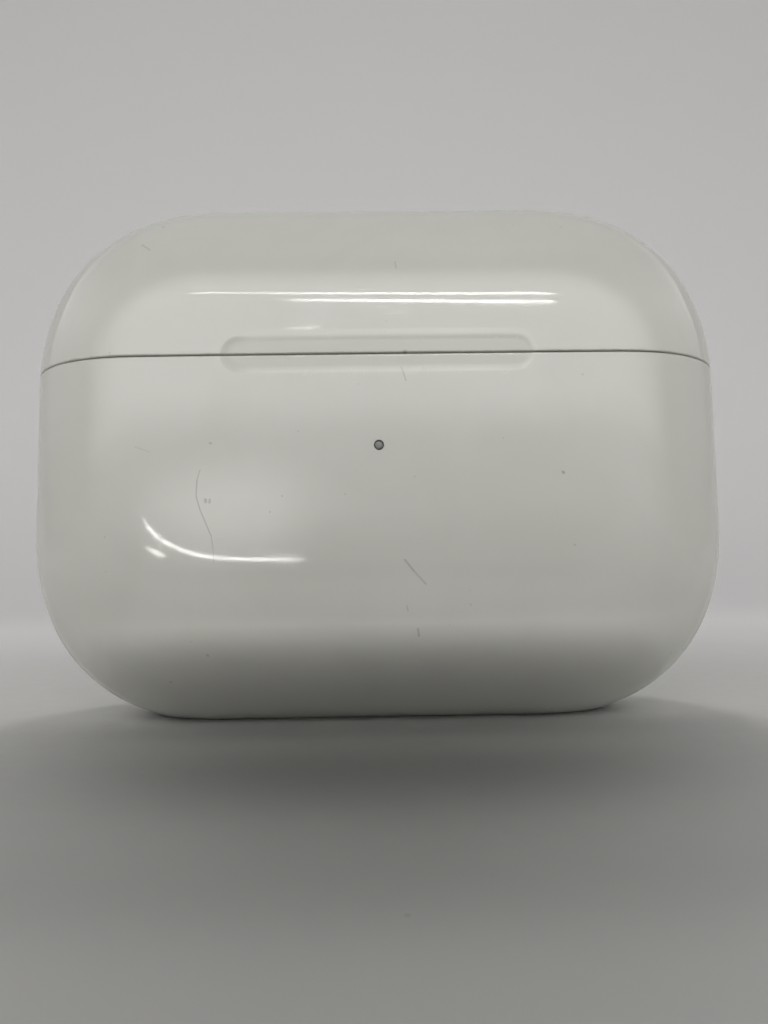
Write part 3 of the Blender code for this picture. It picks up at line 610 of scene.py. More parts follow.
# short marks on the front face: (x, z) ends, width, softness, strength
FRONT_MARKS = (
    # a long scratch left of centre
    ((-13.95, 20.3), (-14.18, 19.52), 0.02, 0.05, 0.30),
    ((-14.18, 19.52), (-14.25, 18.27), 0.025, 0.05, 0.40),
    ((-14.25, 18.27), (-13.93, 17.18), 0.025, 0.05, 0.42),
    ((-13.93, 17.18), (-13.46, 16.08), 0.025, 0.05, 0.42),
    ((-13.46, 16.08), (-13.07, 15.15), 0.025, 0.05, 0.40),
    ((-13.07, 15.15), (-12.92, 14.22), 0.02, 0.05, 0.34),
    ((-12.92, 14.22), (-12.84, 13.06), 0.015, 0.05, 0.22),
    ((-13.52, 17.96), (-13.5, 17.82), 0.07, 0.10, 0.42),
    ((-13.18, 17.95), (-13.2, 17.75), 0.05, 0.10, 0.36),
    ((-13.18, 22.41), (-13.1, 22.38), 0.04, 0.08, 0.34),
    # nicks under the light and low on the face
    ((1.88, 13.08), (2.56, 12.22), 0.035, 0.08, 0.36),
    ((2.56, 12.22), (3.47, 11.21), 0.03, 0.08, 0.28),
    ((1.98, 9.55), (2.05, 9.16), 0.03, 0.06, 0.24),
    ((2.8, 7.77), (2.88, 7.22), 0.04, 0.08, 0.36),
    ((14.37, 19.77), (14.42, 19.72), 0.07, 0.09, 0.5),
    ((-19.24, 39.3), (-18.43, 38.63), 0.03, 0.07, 0.26),
    ((-17.87, 41.38), (-17.8, 41.3), 0.05, 0.08, 0.28),
    ((1.51, 37.02), (1.58, 36.48), 0.03, 0.06, 0.24),
    ((-13.5, 6.0), (-13.42, 5.94), 0.05, 0.08, 0.28),
    ((-16.68, 3.82), (-16.6, 3.8), 0.05, 0.08, 0.26),
    ((-19.03, 22.19), (-17.85, 21.77), 0.02, 0.06, 0.16),
    ((2.10, 29.58), (2.24, 29.58), 0.06, 0.08, 0.5),
    ((1.86, 28.3), (1.98, 27.9), 0.03, 0.06, 0.22),
    ((1.98, 27.9), (2.2, 27.2), 0.03, 0.06, 0.30),
)


def front_marks(m, colour, y):
    front = m.span(y, -6.0, -3.0, 1.0, 0.0)
    total = None
    for a, b, width, soft, strength in FRONT_MARKS:
        one = m.math("MULTIPLY", m.segment(a, b, width, soft), strength)
        total = one if total is None else m.math("MAXIMUM", total, one)
    return m.mix(m.math("MULTIPLY", total, front), colour, (0.22, 0.21, 0.20, 1))


def plastic(name, dark, light, rough, scale=0.5, grain=0.003, grain_scale=6.0, **more):
    m = Nodes(name)
    spread = m.noise(scale, 3.0, 0.5, 0.1)
    colour = m.mix(m.span(spread, 0.3, 0.7), dark, light)
    r = m.span(m.noise(scale * 2.3, 3.0, 0.5, 0.2), 0.3, 0.7, rough * 0.85, rough * 1.2)
    return m.done(
        Base_Color=colour,
        Roughness=r,
        Normal=m.bump(m.noise(grain_scale, 2.0), grain, 0.7),
        **more,
    )


def brushed(name, dark, light, rough, along="X", grain=0.004):
    """Drawn metal: fine streaks along one axis."""
    m = Nodes(name)
    stretch = {"X": (0.35, 22, 22), "Y": (22, 0.35, 22), "Z": (22, 22, 0.35)}[along]
    streak = m.noise(1.0, 3.0, 0.6, 0.0, m.stretch(*stretch))
    spots = m.noise(0.7, 4.0, 0.65, 0.8)
    both = m.math("ADD", m.math("MULTIPLY", streak, 0.7), m.math("MULTIPLY", spots, 0.3))
    colour = m.mix(m.span(both, 0.35, 0.65), dark, light)
    r = m.span(both, 0.3, 0.7, rough * 0.7, rough * 1.5)
    return m.done(
        Base_Color=colour,
        Roughness=r,
        Metallic=1.0,
        Normal=m.bump(streak, grain, 0.5),
    )


def board_material():
    """Green solder mask over tracks, with plated pads."""
    m = Nodes("board_mask")
    base = m.noise(0.8, 3.0)
    colour = m.mix(m.span(base, 0.3, 0.7), (0.012, 0.10, 0.045, 1), (0.02, 0.15, 0.07, 1))
    tracks = m.cells(1.15, m.stretch(1.0, 0.05, 1.0), "DISTANCE_TO_EDGE")
    line = m.span(tracks, 0.05, 0.08, 1.0, 0.0)
    colour = m.mix(m.math("MULTIPLY", line, 0.6), colour, (0.05, 0.26, 0.12, 1))
    pads = m.span(m.cells(1.7, m.stretch(1.0, 0.05, 1.0), "F1", 0.35), 0.12, 0.15, 1.0, 0.0)
    pads = m.math("MULTIPLY", pads, m.span(m.noise(0.33, 1.0), 0.5, 0.53))
    colour = m.mix(pads, colour, (0.78, 0.56, 0.22, 1))
    return m.done(
        Base_Color=colour,
        Metallic=m.math("MULTIPLY", pads, 0.9),
        Roughness=m.span(base, 0.3, 0.7, 0.28, 0.45),
        Normal=m.bump(line, 0.02, 0.6),
    )


def foil_material():
    """Aluminium laminate pouch with shallow creases."""
    m = Nodes("cell_foil_wrap")
    crease = m.noise(0.45, 5.0, 0.6, 2.2)
    fine = m.cells(1.1, None, "DISTANCE_TO_EDGE")
    colour = m.mix(m.span(crease, 0.3, 0.7), (0.10, 0.10, 0.11, 1), (0.26, 0.26, 0.28, 1))
    height = m.math("ADD", crease, m.math("MULTIPLY", fine, 0.25))
    return m.done(
        Base_Color=colour,
        Metallic=m.span(crease, 0.3, 0.7, 0.55, 0.8),
        Roughness=m.span(fine, 0.0, 0.4, 0.30, 0.48),
        Normal=m.bump(height, 0.12, 0.6),
    )


def coil_material():
    """Turns of enamelled wire, following the coil's rounded path."""
    m = Nodes("coil_winding")
    x, y, z = m.split()
    ax = m.math("MAXIMUM", m.math("SUBTRACT", m.math("ABSOLUTE", x), 8.4), 0.0)
    az = m.math("SUBTRACT", z, 14.9)
    r = m.math("SQRT", m.math("ADD", m.math("POWER", ax, 2.0), m.math("POWER", az, 2.0)))
    turn = m.math("SINE", m.math("MULTIPLY", r, 14.0))
    groove = m.span(turn, -1.0, 1.0)
    patch = m.noise(0.5, 3.0)
    # the grooves between turns are painted dark and the crests light: painted shade between the turns
    colour = m.mix(groove, (0.26, 0.09, 0.03, 1), (0.80, 0.40, 0.18, 1))
    return m.done(
        Base_Color=colour,
        Metallic=m.span(groove, 0.0, 1.0, 0.6, 0.9),
        Roughness=m.span(patch, 0.3, 0.7, 0.26, 0.42),
        Normal=m.bump(groove, 0.12, 0.8),
    )


def flex_material():
    m = Nodes("flex_film")
    patch = m.noise(0.6, 3.0)
    lines = m.wave(1.6, None, 0.6, "BANDS", "X")
    track = m.span(lines, 0.45, 0.6)
    colour = m.mix(m.span(patch, 0.3, 0.7), (0.36, 0.15, 0.02, 1), (0.50, 0.24, 0.05, 1))
    colour = m.mix(m.math("MULTIPLY", track, 0.45), colour, (0.70, 0.40, 0.14, 1))
    return m.done(
        Base_Color=colour,
        Roughness=m.span(patch, 0.3, 0.7, 0.28, 0.42),
        Normal=m.bump(track, 0.015, 0.6),
    )


def chip_material():
    m = Nodes("chip_resin")
    grain = m.noise(5.0, 3.0, 0.6)
    patch = m.noise(0.8, 2.0)
    colour = m.mix(m.span(grain, 0.35, 0.65), (0.012, 0.012, 0.014, 1), (0.04, 0.04, 0.043, 1))
    return m.done(
        Base_Color=colour,
        Roughness=m.span(patch, 0.3, 0.7, 0.42, 0.6),
        Normal=m.bump(grain, 0.01, 0.6),
    )


def ferrite_material():
    m = Nodes("ferrite_sheet")
    grain = m.noise(3.0, 4.0, 0.7)
    speck = m.span(m.cells(2.2), 0.06, 0.12, 1.0, 0.0)
    colour = m.mix(m.span(grain, 0.3, 0.7), (0.02, 0.02, 0.022, 1), (0.075, 0.075, 0.08, 1))
    colour = m.mix(m.math("MULTIPLY", speck, 0.6), colour, (0.22, 0.22, 0.23, 1))
    return m.done(
        Base_Color=colour,
        Roughness=m.span(grain, 0.3, 0.7, 0.55, 0.8),
        Normal=m.bump(grain, 0.02, 0.7),
    )


def lens_material():
    """Smoked light pipe, dull grey when the lamp is off."""
    m = Nodes("lens_smoke")
    x, y, z = m.split()
    r = m.math(
        "SQRT",
        m.math("ADD", m.math("POWER", x, 2.0), m.math("POWER", m.math("SUBTRACT", z, LED_Z), 2.0)),
    )
    cloud = m.noise(2.5, 2.0)
    colour = m.mix(m.span(r, 0.10, 0.36), (0.20, 0.205, 0.20, 1), (0.095, 0.10, 0.10, 1))
    colour = m.mix(m.span(cloud, 0.4, 0.7, 0.0, 0.3), colour, (0.26, 0.26, 0.25, 1))
    return m.done(
        Base_Color=colour,
        Roughness=m.span(cloud, 0.3, 0.7, 0.22, 0.4),
        IOR=1.5,
    )


MATS = {
    "shell_white": shell_material("shell_gloss", (0.715, 0.712, 0.672, 1), (0.74, 0.738, 0.70, 1)),
    "button_white": plastic("button_gloss", (0.70, 0.70, 0.66, 1), (0.77, 0.77, 0.735, 1), 0.17, 0.35, 0.002),
    "liner_white": plastic("liner_satin", (0.735, 0.735, 0.71, 1), (0.77, 0.77, 0.745, 1), 0.26, 0.14, 0.0012, 2.2),
    "hinge_steel": brushed("hinge_brushed", (0.58, 0.58, 0.59, 1), (0.80, 0.80, 0.81, 1), 0.20, "X"),
    "port_steel": brushed("port_drawn", (0.48, 0.48, 0.50, 1), (0.70, 0.70, 0.72, 1), 0.24, "Z"),
    "screw_steel": brushed("screw_turned", (0.40, 0.40, 0.42, 1), (0.62, 0.62, 0.64, 1), 0.32, "Y"),
    "magnet_nickel": brushed("nickel_plate", (0.46, 0.45, 0.43, 1), (0.66, 0.65, 0.63, 1), 0.28, "Z"),
    "contact_gold": brushed("contact_plate", (0.72, 0.48, 0.18, 1), (0.92, 0.70, 0.34, 1), 0.20, "Z", 0.002),
    "copper": coil_material(),
    "ferrite": ferrite_material(),
    "board_green": board_material(),
    "chip_black": chip_material(),
    "cell_foil": foil_material(),
    "flex_amber": flex_material(),
    "lens_smoke": lens_material(),
}


# ---- pieces ---------------------------------------------------------------------------------
def show(obj, body, nodes):
    """The piece rides on its CAD body and stands for the CAD nodes it's the look of."""
    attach(obj, body)
    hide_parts(*nodes)
    return obj


def rim_turn(z, side, r=0.06, steps=4):
    """(level, inset) pairs round an outer edge that ends at level z; side +1 below it."""
    out = []
    for k in range(steps + 1):
        a = math.pi / 2 * k / steps
        out.append((z - side * r * (1 - math.sin(a)), r * (1 - math.cos(a))))
    return out


def base_shell():
    low = [(0.0, 0.30), (0.02, 0.14), (0.06, 0.05), (0.12, 0.01)]
    turn = np.sin(np.linspace(0, math.pi / 2, 30))
    levels = 0.2 + (22.0 - 0.2) * (1 - np.cos(np.linspace(0, math.pi / 2, 40)))
    levels = list(levels) + [23.5, 25.0, 26.2, 27.2] + list(np.arange(27.8, BASE_LIP - 0.08, 0.1))
    loops = [section(z, off) for z, off in low]
    loops += [section(z, 0.0, z > 27.5) for z in levels]
    loops += [section(z, off, True) for z, off in rim_turn(BASE_LIP, 1)]
    loops += [section(BASE_LIP, 0.45), section(BASE_LIP, WALL - 0.12)]
    loops += [section(z, WALL - off) for z, off in rim_turn(BASE_LIP, 1, 0.1, 2)[::-1]]
    inner = 1.35 + (27.0 - 1.35) * (1 - np.cos(np.linspace(0, math.pi / 2, 18)))
    loops += [section(z, WALL) for z in inner[::-1]]
    obj = mesh_object("case_base_shell", *loft(loops), MATS["shell_white"], 35)
    front, back = -float(half_depth(0.0, LED_Z)), float(half_depth(0.0, BUTTON_Z))
    cutters = [
        # light pipe hole with a tiny lead-in
        mesh_object("c", *loft(lathe("Y", (0, LED_Z), [(-HY - 2, LED_R + 0.5), (front - 0.001, LED_R + 0.075), (front + 0.05, LED_R + 0.03), (-HY + 3, LED_R + 0.03)], 40))),
        # setup button hole
        mesh_object("c", *loft(lathe("Y", (0, BUTTON_Z), [(HY - 3, BUTTON_R + 0.12), (back - 0.09, BUTTON_R + 0.12), (back - 0.03, BUTTON_R + 0.15), (back + 0.005, BUTTON_R + 0.24), (HY + 2, BUTTON_R + 2.2)], 72))),
        # charging port
        mesh_object("c", *loft(levelled("Z", [(-2, stadium(13.0, 7.2)), (0.0, stadium(11.0, 5.2)), (0.06, stadium(10.86, 5.06)), (0.16, stadium(10.8, 5.0)), (4, stadium(10.8, 5.0))]))),
    ]
    carve(obj, join("cut_a", cutters))
    y_back = float(half_depth(0.0, 26.0))
    notch = mesh_object(
        "c",
        *loft(
            levelled(
                "Y",
                [
                    (HINGE_Y - 2.2, rounded(2 * NOTCH_HALF, 12, 0.8, (0, NOTCH_Z + 6))),
                    (y_back - 0.20, rounded(2 * NOTCH_HALF, 12, 0.8, (0, NOTCH_Z + 6))),
                    (y_back - 0.07, rounded(2 * NOTCH_HALF + 0.05, 12.05, 0.85, (0, NOTCH_Z + 6))),
                    (y_back + 0.03, rounded(2 * NOTCH_HALF + 0.24, 12.24, 0.95, (0, NOTCH_Z + 6))),
                    (HY + 2, rounded(2 * NOTCH_HALF + 3.5, 15.5, 2.4, (0, NOTCH_Z + 6))),
                ],
            )
        ),
    )
    carve(obj, notch)
    return show(obj, "base", ["base_shell"])


def lid_sweep():
    """The room the base's rear rim needs inside the lid as the lid turns, wider where the case is deeper."""
    xs = (8, 14, 18, 20, 22, 23.5, 25, 26.2, 27)
    loops = []
    for x in [-v for v in reversed(xs)] + list(xs):
        reach = max(float(half_depth(x, BASE_LIP)) - HINGE_Y, 0.0)
        r = math.hypot(reach, BASE_LIP - HINGE_Z) + SWEEP_CLEAR
        loops.append([(x, HINGE_Y + p[0], HINGE_Z + p[1]) for p in circle(r, 120)])
    return mesh_object("c", *loft(loops))


def lid_shell():
    outer = LID_LIP + 0.08
    fine = list(np.arange(outer, 31.3, 0.1))
    top_turn = 33.0 + (Z_TOP - 33.0) * np.sin(np.linspace(0, math.pi / 2, 44))
    loops = [section(z, off, True) for z, off in rim_turn(LID_LIP, -1)[::-1]]
    loops += [section(z, 0.0, True) for z in fine]
    loops += [section(z) for z in (31.6, 32.2)]
    loops += [section(z) for z in top_turn[:-1]]
    last = section(Z_TOP)
    last[:, 1] = 0.0
    outside = loops + [last]
    inner_turn = 33.0 + (Z_TOP - WALL - 33.0) * np.sin(np.linspace(0, math.pi / 2, 24))
    loops = [section(z, WALL - off) for z, off in rim_turn(LID_LIP, -1, 0.1, 2)[::-1]]
    loops += [section(z, WALL) for z in (30.3, 31.6)]
    loops += [section(z, WALL) for z in inner_turn[:-1]]
    last = section(Z_TOP - WALL, WALL)
    last[:, 1] = 0.0
    inside = loops + [last]
    flat = [section(LID_LIP, WALL - 0.12), section(LID_LIP, 0.45)]
    chain = inside[::-1] + flat + outside
    obj = mesh_object("case_lid_shell", *loft(chain, False, False), MATS["shell_white"], 35)
    carve(obj, lid_sweep())
    return show(obj, "lid", ["lid_shell"])


def implicit_piece(name, field, lo, hi, h, body, nodes):
    verts, faces = surface_net(field, lo, hi, h)
    obj = mesh_object(name, verts, faces, MATS["liner_white"], 60, 1e-9)
    return show(obj, body, nodes)


def knuckle_profile(r, up, n=56):
    pts = []
    ang0 = math.pi / 2 if up else -math.pi / 2
    ang1 = math.pi - math.acos(0.9 / r)
    if up:
        sweep = ang0 - (ang1 - 2 * math.pi)
        angles = [ang0 - sweep * i / n for i in range(n + 1)]
    else:
        sweep = (-ang1 + 2 * math.pi) - ang0
        angles = [ang0 + sweep * i / n for i in range(n + 1)]
    return [(HINGE_Y + r * math.cos(a), HINGE_Z + r * math.sin(a)) for a in angles]


def x_prism(profile, x0, x1):
    return mesh_object("h", *loft([[(x, p[0], p[1]) for p in profile] for x in (x0, x1)]))


def y_plate(shape, y0, y1):
    return mesh_object("h", *loft(levelled("Y", [(y0, shape), (y1, shape)])))


def hinge_pieces():
    y0, y1 = HINGE_Y - 0.9, HINGE_Y
    steel = MATS["hinge_steel"]
    profile = knuckle_profile(KNUCKLE_R, False) + [(y0, 23.0), (y1, 23.0)]
    base = x_prism(profile, -MID_KNUCKLE, MID_KNUCKLE)
    carve(base, y_plate(rounded(17.0, 3.0, 0.7, (0, 23.8)), y0 + 0.0005, y1 - 0.0005), "UNION")
    cuts = [mesh_object("c", *loft(lathe("Y", (s * 6.6, 23.8), [(7.5, 0.62), (10.5, 0.62)], 24))) for s in (-1, 1)]
    bore = x_prism([(HINGE_Y + PIN_HOLE_R * math.cos(a), HINGE_Z + PIN_HOLE_R * math.sin(a)) for a in np.linspace(0, 2 * math.pi, 32, endpoint=False)], -12, 12)
    carve(base, join("c2", cuts + [bore]))
    base.data.materials.append(steel)
    base.name = "hinge_base_leaf"
    bevel(base, 0.09, 3)
    show(base, "base", ["hinge_base_bracket"])

    profile = knuckle_profile(KNUCKLE_R - 0.05, True) + [(y0, 34.2), (y1, 34.2)]
    lid = x_prism(profile, MID_KNUCKLE + 0.25, HINGE_HALF)
    carve(lid, x_prism(profile, -HINGE_HALF, -MID_KNUCKLE - 0.25), "UNION")
    carve(lid, y_plate(rounded(17.81, 3.6, 0.7, (0, 33.6)), y0 + 0.0005, y1 - 0.0005), "UNION")
    cuts = [mesh_object("c", *loft(lathe("Y", (s * 6.6, 33.7), [(7.5, 0.62), (10.5, 0.62)], 24))) for s in (-1, 1)]
    bore = x_prism([(HINGE_Y + PIN_HOLE_R * math.cos(a), HINGE_Z + PIN_HOLE_R * math.sin(a)) for a in np.linspace(0, 2 * math.pi, 32, endpoint=False)], -12, 12)
    carve(lid, join("c2", cuts + [bore]))
    lid.data.materials.append(steel)
    lid.name = "hinge_lid_leaf"
    bevel(lid, 0.09, 3)
    show(lid, "lid", ["hinge_lid_bracket"])

    rings = [(-8.8, 0.2), (-8.8, 0.36), (-8.76, 0.44), (-8.68, 0.49), (-8.55, 0.5), (8.55, 0.5), (8.68, 0.49), (8.76, 0.44), (8.8, 0.36), (8.8, 0.2)]
    loops = [[(x, HINGE_Y + p[0], HINGE_Z + p[1]) for p in circle(r, 40)] for x, r in rings]
    pin = mesh_object("hinge_axle", *loft(loops), MATS["screw_steel"])
    show(pin, "base", ["hinge_pin"])


def button_piece():
    back = float(half_depth(0.0, BUTTON_Z))
    r = BUTTON_R
    rings = [(8.57, 0.5), (8.57, 0.7), (8.7, 0.8), (8.92, 0.8), (8.92, 3.15), (8.97, 3.2), (9.15, 3.2), (9.2, 3.15), (9.2, r)]
    edge = [(back - 0.20 + 0.12 * math.sin(a), r - 0.12 * (1 - math.cos(a))) for a in np.linspace(0, math.pi / 2, 6)]
    crown = [(back - 0.08 + 0.03 * (1 - (q / (r - 0.12)) ** 2), q) for q in np.linspace(r - 0.12, 0.2, 9)[1:]]
    obj = mesh_object("setup_button_cap", *loft(lathe("Y", (0, BUTTON_Z), rings + edge + crown, 72)), MATS["button_white"])
    return show(obj, "button", ["setup_button"])


def lens_piece():
    front = float(half_depth(0.0, LED_Z))
    rings = [
        (-front + 0.035, 0.12),
        (-front + 0.04, 0.22),
        (-front + 0.055, 0.31),
        (-front + 0.09, 0.35),
        (-front + 0.14, LED_R),
        (-front + 1.45, LED_R),
        (-front + 1.45, 0.9),
        (-front + 1.5, 0.95),
        (-front + 1.9, 0.95),
        (-front + 1.95, 0.9),
    ]
    obj = mesh_object("status_light_pipe", *loft(lathe("Y", (0, LED_Z), rings, 40)), MATS["lens_smoke"])
    return show(obj, "base", ["status_light_lens"])


def port_pieces():
    steel = MATS["port_steel"]
    rings = []
    e = 0.12
    for a in np.linspace(0, math.pi / 2, 4):
        rings.append((0.12 + e * (1 - math.sin(a)), e * (1 - math.cos(a)), 0))
    outer = [(0.12 + e * (1 - math.cos(a)), stadium(10.3 - 2 * e * (1 - math.sin(a)), 4.5 - 2 * e * (1 - math.sin(a)))) for a in np.linspace(0, math.pi / 2, 4)]
    inner = [(0.12 + e * (1 - math.cos(a)), stadium(8.6 + 2 * e * (1 - math.sin(a)), 2.8 + 2 * e * (1 - math.sin(a)))) for a in np.linspace(0, math.pi / 2, 4)]
    chain = outer + [(1.5, stadium(10.3, 4.5)), (1.5, stadium(8.6, 2.8))] + inner[::-1] + [outer[0]]
    trim = mesh_object("port_ring", *loft(levelled("Z", chain), False, False), steel)
    show(trim, "base", ["port_trim"])
    cup = [
        (7.3, stadium(9.3, 3.5)),
        (1.85, stadium(9.3, 3.5)),
        (1.8, stadium(9.2, 3.4)),
        (1.8, stadium(8.6, 2.8)),
        (1.85, stadium(8.5, 2.7)),
        (6.9, stadium(8.5, 2.7)),
    ]
    can = mesh_object("port_can", *loft(levelled("Z", cup)), steel)
    show(can, "base", ["port_receptacle"])
    tongue = [
        (2.3, rounded(6.1, 0.45, 0.2)),
        (2.42, rounded(6.45, 0.6, 0.28)),
        (2.6, rounded(6.7, 0.7, 0.3)),
        (5.6, rounded(6.7, 0.7, 0.3)),
        (5.6, rounded(8.1, 2.3, 1.1)),
        (6.7, rounded(8.1, 2.3, 1.1)),
    ]
    blade = mesh_object("port_blade", *loft(levelled("Z", tongue)), MATS["chip_black"])
    show(blade, "base", ["port_tongue"])
    # gold contact strips on both faces of the blade
    pads = []
    for k in range(8):
        cx = -2.625 + 0.75 * k
        for s in (-1, 1):
            y0, y1 = sorted((s * 0.345, s * 0.375))
            pads.append(mesh_object("h", *loft([[(cx + a, y, b) for a, b in rounded(0.34, 2.3, 0.12, (0, 4.1), 4)] for y in (y0, y1)])))
    strips = join("port_contact_strips", pads)
    strips.data.materials.clear()
    strips.data.materials.append(MATS["contact_gold"])
    finish_mesh(strips.data, 40)
    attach(strips, "base")


def pin_pieces():
    tip = STEM_FLOOR + 0.8
    for side, word in ((-1, "left"), (1, "right")):
        for end, where in ((-1, "front"), (1, "rear")):
            c = (side * STEM_X, STEM_Y + end * PIN_PITCH / 2)
            dome = [(tip - 0.34 + 0.34 * math.sin(a), CONTACT_R * math.cos(a)) for a in np.linspace(0, math.radians(84), 9)]
            rings = [(7.15, 0.4), (7.2, CONTACT_R)] + dome
            obj = mesh_object(f"contact_pin_{word}_{where}", *loft(lathe("Z", c, rings, 32)), MATS["contact_gold"])
            show(obj, f"pin_{word}_{where}", [f"charge_pin_{word}_{where}"])


base_shell()
lid_shell()
NET = 0.25
implicit_piece("earbud_cradle", cradle_field, (-29.2, -9.8, 8.6), (29.2, 9.8, 29.5), NET, "base", ["cradle"])
implicit_piece("lid_inner_liner", liner_field, (-29.2, -9.8, 29.6), (29.2, 9.8, 42.2), NET, "lid", ["lid_liner"])
hinge_pieces()
button_piece()
lens_piece()
port_pieces()
pin_pieces()

# the pieces inside keep their CAD meshes and take a finish
for row in frame["record"]["subparts"]:
    node = frame["nodes"][row["node"]]
    node.data.materials.clear()
    node.data.materials.append(MATS[row["material_slot"]])


# ---- stage, light and camera -----------------------------------------------------------------
def stage_material(name, a, b):
    m = Nodes(name)
    slow = m.noise(0.012, 4.0, 0.6, 0.5)
    fine = m.noise(0.5, 4.0, 0.7)
    colour = m.mix(m.span(slow, 0.35, 0.65), a, b)
    speck = m.math(
        "MULTIPLY",
        m.span(m.cells(0.35), 0.03, 0.07, 1.0, 0.0),
        m.span(m.noise(0.08, 2.0), 0.5, 0.6),
    )
    colour = m.mix(m.math("MULTIPLY", speck, 0.25), colour, (0.35, 0.34, 0.32, 1))
    # the sweep is painted paler up the wall and towards the back, so the wall looks more brightly lit than the floor:
    # painted light
    px, py, pz = m.split()
    rise = m.math("MAXIMUM", m.span(pz, 0.0, 70.0), m.span(py, 0.0, 120.0))
    colour = m.mix(rise, colour, (0.868, 0.854, 0.868, 1))
    return m.done(
        Base_Color=colour,
        Roughness=m.span(fine, 0.3, 0.7, 0.55, 0.7),
        Normal=m.bump(fine, 0.03, 0.5),
    )


def plain_object(name, verts, faces):
    mesh = bpy.data.meshes.new(name)
    mesh.from_pydata([[c * MM for c in v] for v in verts], [], faces)
    obj = bpy.data.objects.new(name, mesh)
    bpy.context.scene.collection.objects.link(obj)
    return obj


def backdrop():
    arc = 120.0
    run = [(-600.0, 0.0), (-200.0, 0.0), (-60.0, 0.0), (60.0, 0.0), (180.0, 0.0)]
    run += [(180 + arc * math.sin(a), arc * (1 - math.cos(a))) for a in np.linspace(0, math.pi / 2, 17)[1:]]
    run += [(180 + arc, 250.0), (180 + arc, 430.0)]
    verts = [(x, y, z) for x in (-700.0, 700.0) for y, z in run]
    n = len(run)
    faces = [(i, i + 1, n + i + 1, n + i) for i in range(n - 1)]
    obj = plain_object("backdrop", verts, faces)
    obj.data.shade_smooth()
    obj.data.materials.append(stage_material("paper", (0.60, 0.60, 0.595, 1), (0.64, 0.64, 0.635, 1)))


def card(name, x, y0, y1, z, shade):
    """A level card that light and bounced light meet, unseen by the camera and in reflections.
    It thins out towards its edge at y1, towards its ends, and past its middle."""
    obj = plain_object(name, [(-x, y0, z), (x, y0, z), (x, y1, z), (-x, y1, z)], [(0, 1, 2, 3)])
    obj.visible_camera = False
    obj.visible_glossy = False
    m = Nodes(name + "_cloth")
    cloth = m.done(Base_Color=(shade, shade, shade * 0.98, 1), Roughness=0.9)
    px, py, _ = m.split()
    ends = m.math("SUBTRACT", m.math("ABSOLUTE", px), m.span(py, -42.0, -20.0, x - 12.0, x))
    solid = m.math("MULTIPLY", m.span(py, y1 - 6.0, y1, 1.0, 0.0), m.span(ends, -10.0, 0.0, 1.0, 0.0))
    solid = m.math("MULTIPLY", solid, m.span(py, -41.0, -33.0, 0.42, 1.0))
    clear = m.add("ShaderNodeBsdfTransparent")
    mix = m.add("ShaderNodeMixShader")
    m.link(solid, mix.inputs[0])
    m.link(clear.outputs[0], mix.inputs[1])
    m.link(m.bsdf.outputs[0], mix.inputs[2])
    m.link(mix.outputs[0], m.tree.nodes["Material Output"].inputs["Surface"])
    obj.data.materials.append(cloth)


def glow_material():
    mat = bpy.data.materials.new("glow")
    mat.use_nodes = True
    tree = mat.node_tree
    tree.nodes.clear()
    out = tree.nodes.new("ShaderNodeOutputMaterial")
    emit = tree.nodes.new("ShaderNodeEmission")
    add = tree.nodes.new("ShaderNodeAddShader")
    clear = tree.nodes.new("ShaderNodeBsdfTransparent")
    level = tree.nodes.new("ShaderNodeAttribute")
    level.attribute_name = "glow"
    emit.inputs["Color"].default_value = (1.0, 0.985, 0.95, 1)
    tree.links.new(level.outputs["Fac"], emit.inputs["Strength"])
    tree.links.new(emit.outputs[0], add.inputs[0])
    tree.links.new(clear.outputs[0], add.inputs[1])
    tree.links.new(add.outputs[0], out.inputs["Surface"])
    return mat


def glow_object(name, verts, faces, levels, mat):
    """A sheet seen only in reflections; levels is its brightness at each vertex."""
    obj = plain_object(name, verts, faces)
    at = obj.data.attributes.new("glow", "FLOAT", "POINT")
    at.data.foreach_set("value", np.asarray(levels, np.float32))
    obj.data.materials.append(mat)
    obj.visible_camera = obj.visible_diffuse = obj.visible_shadow = False
    return obj


def ribbon(name, path, mat, y=-400.0):
    """A thin strip along (x, z, half width, brightness) points."""
    pts = np.array([p[:2] for p in path], float)
    tangent = np.gradient(pts, axis=0)
    tangent /= np.linalg.norm(tangent, axis=1, keepdims=True)
    side = np.stack([-tangent[:, 1], tangent[:, 0]], 1)
    verts, levels = [], []
    for (x, z, w, level), s in zip(path, side):
        for k in (-1, 1):
            verts.append((x + k * w * s[0], y, z + k * w * s[1]))
            levels.append(level)
    n = len(path)
    faces = [(2 * i, 2 * i + 1, 2 * i + 3, 2 * i + 2) for i in range(n - 1)]
    glow_object(name, verts, faces, levels, mat)


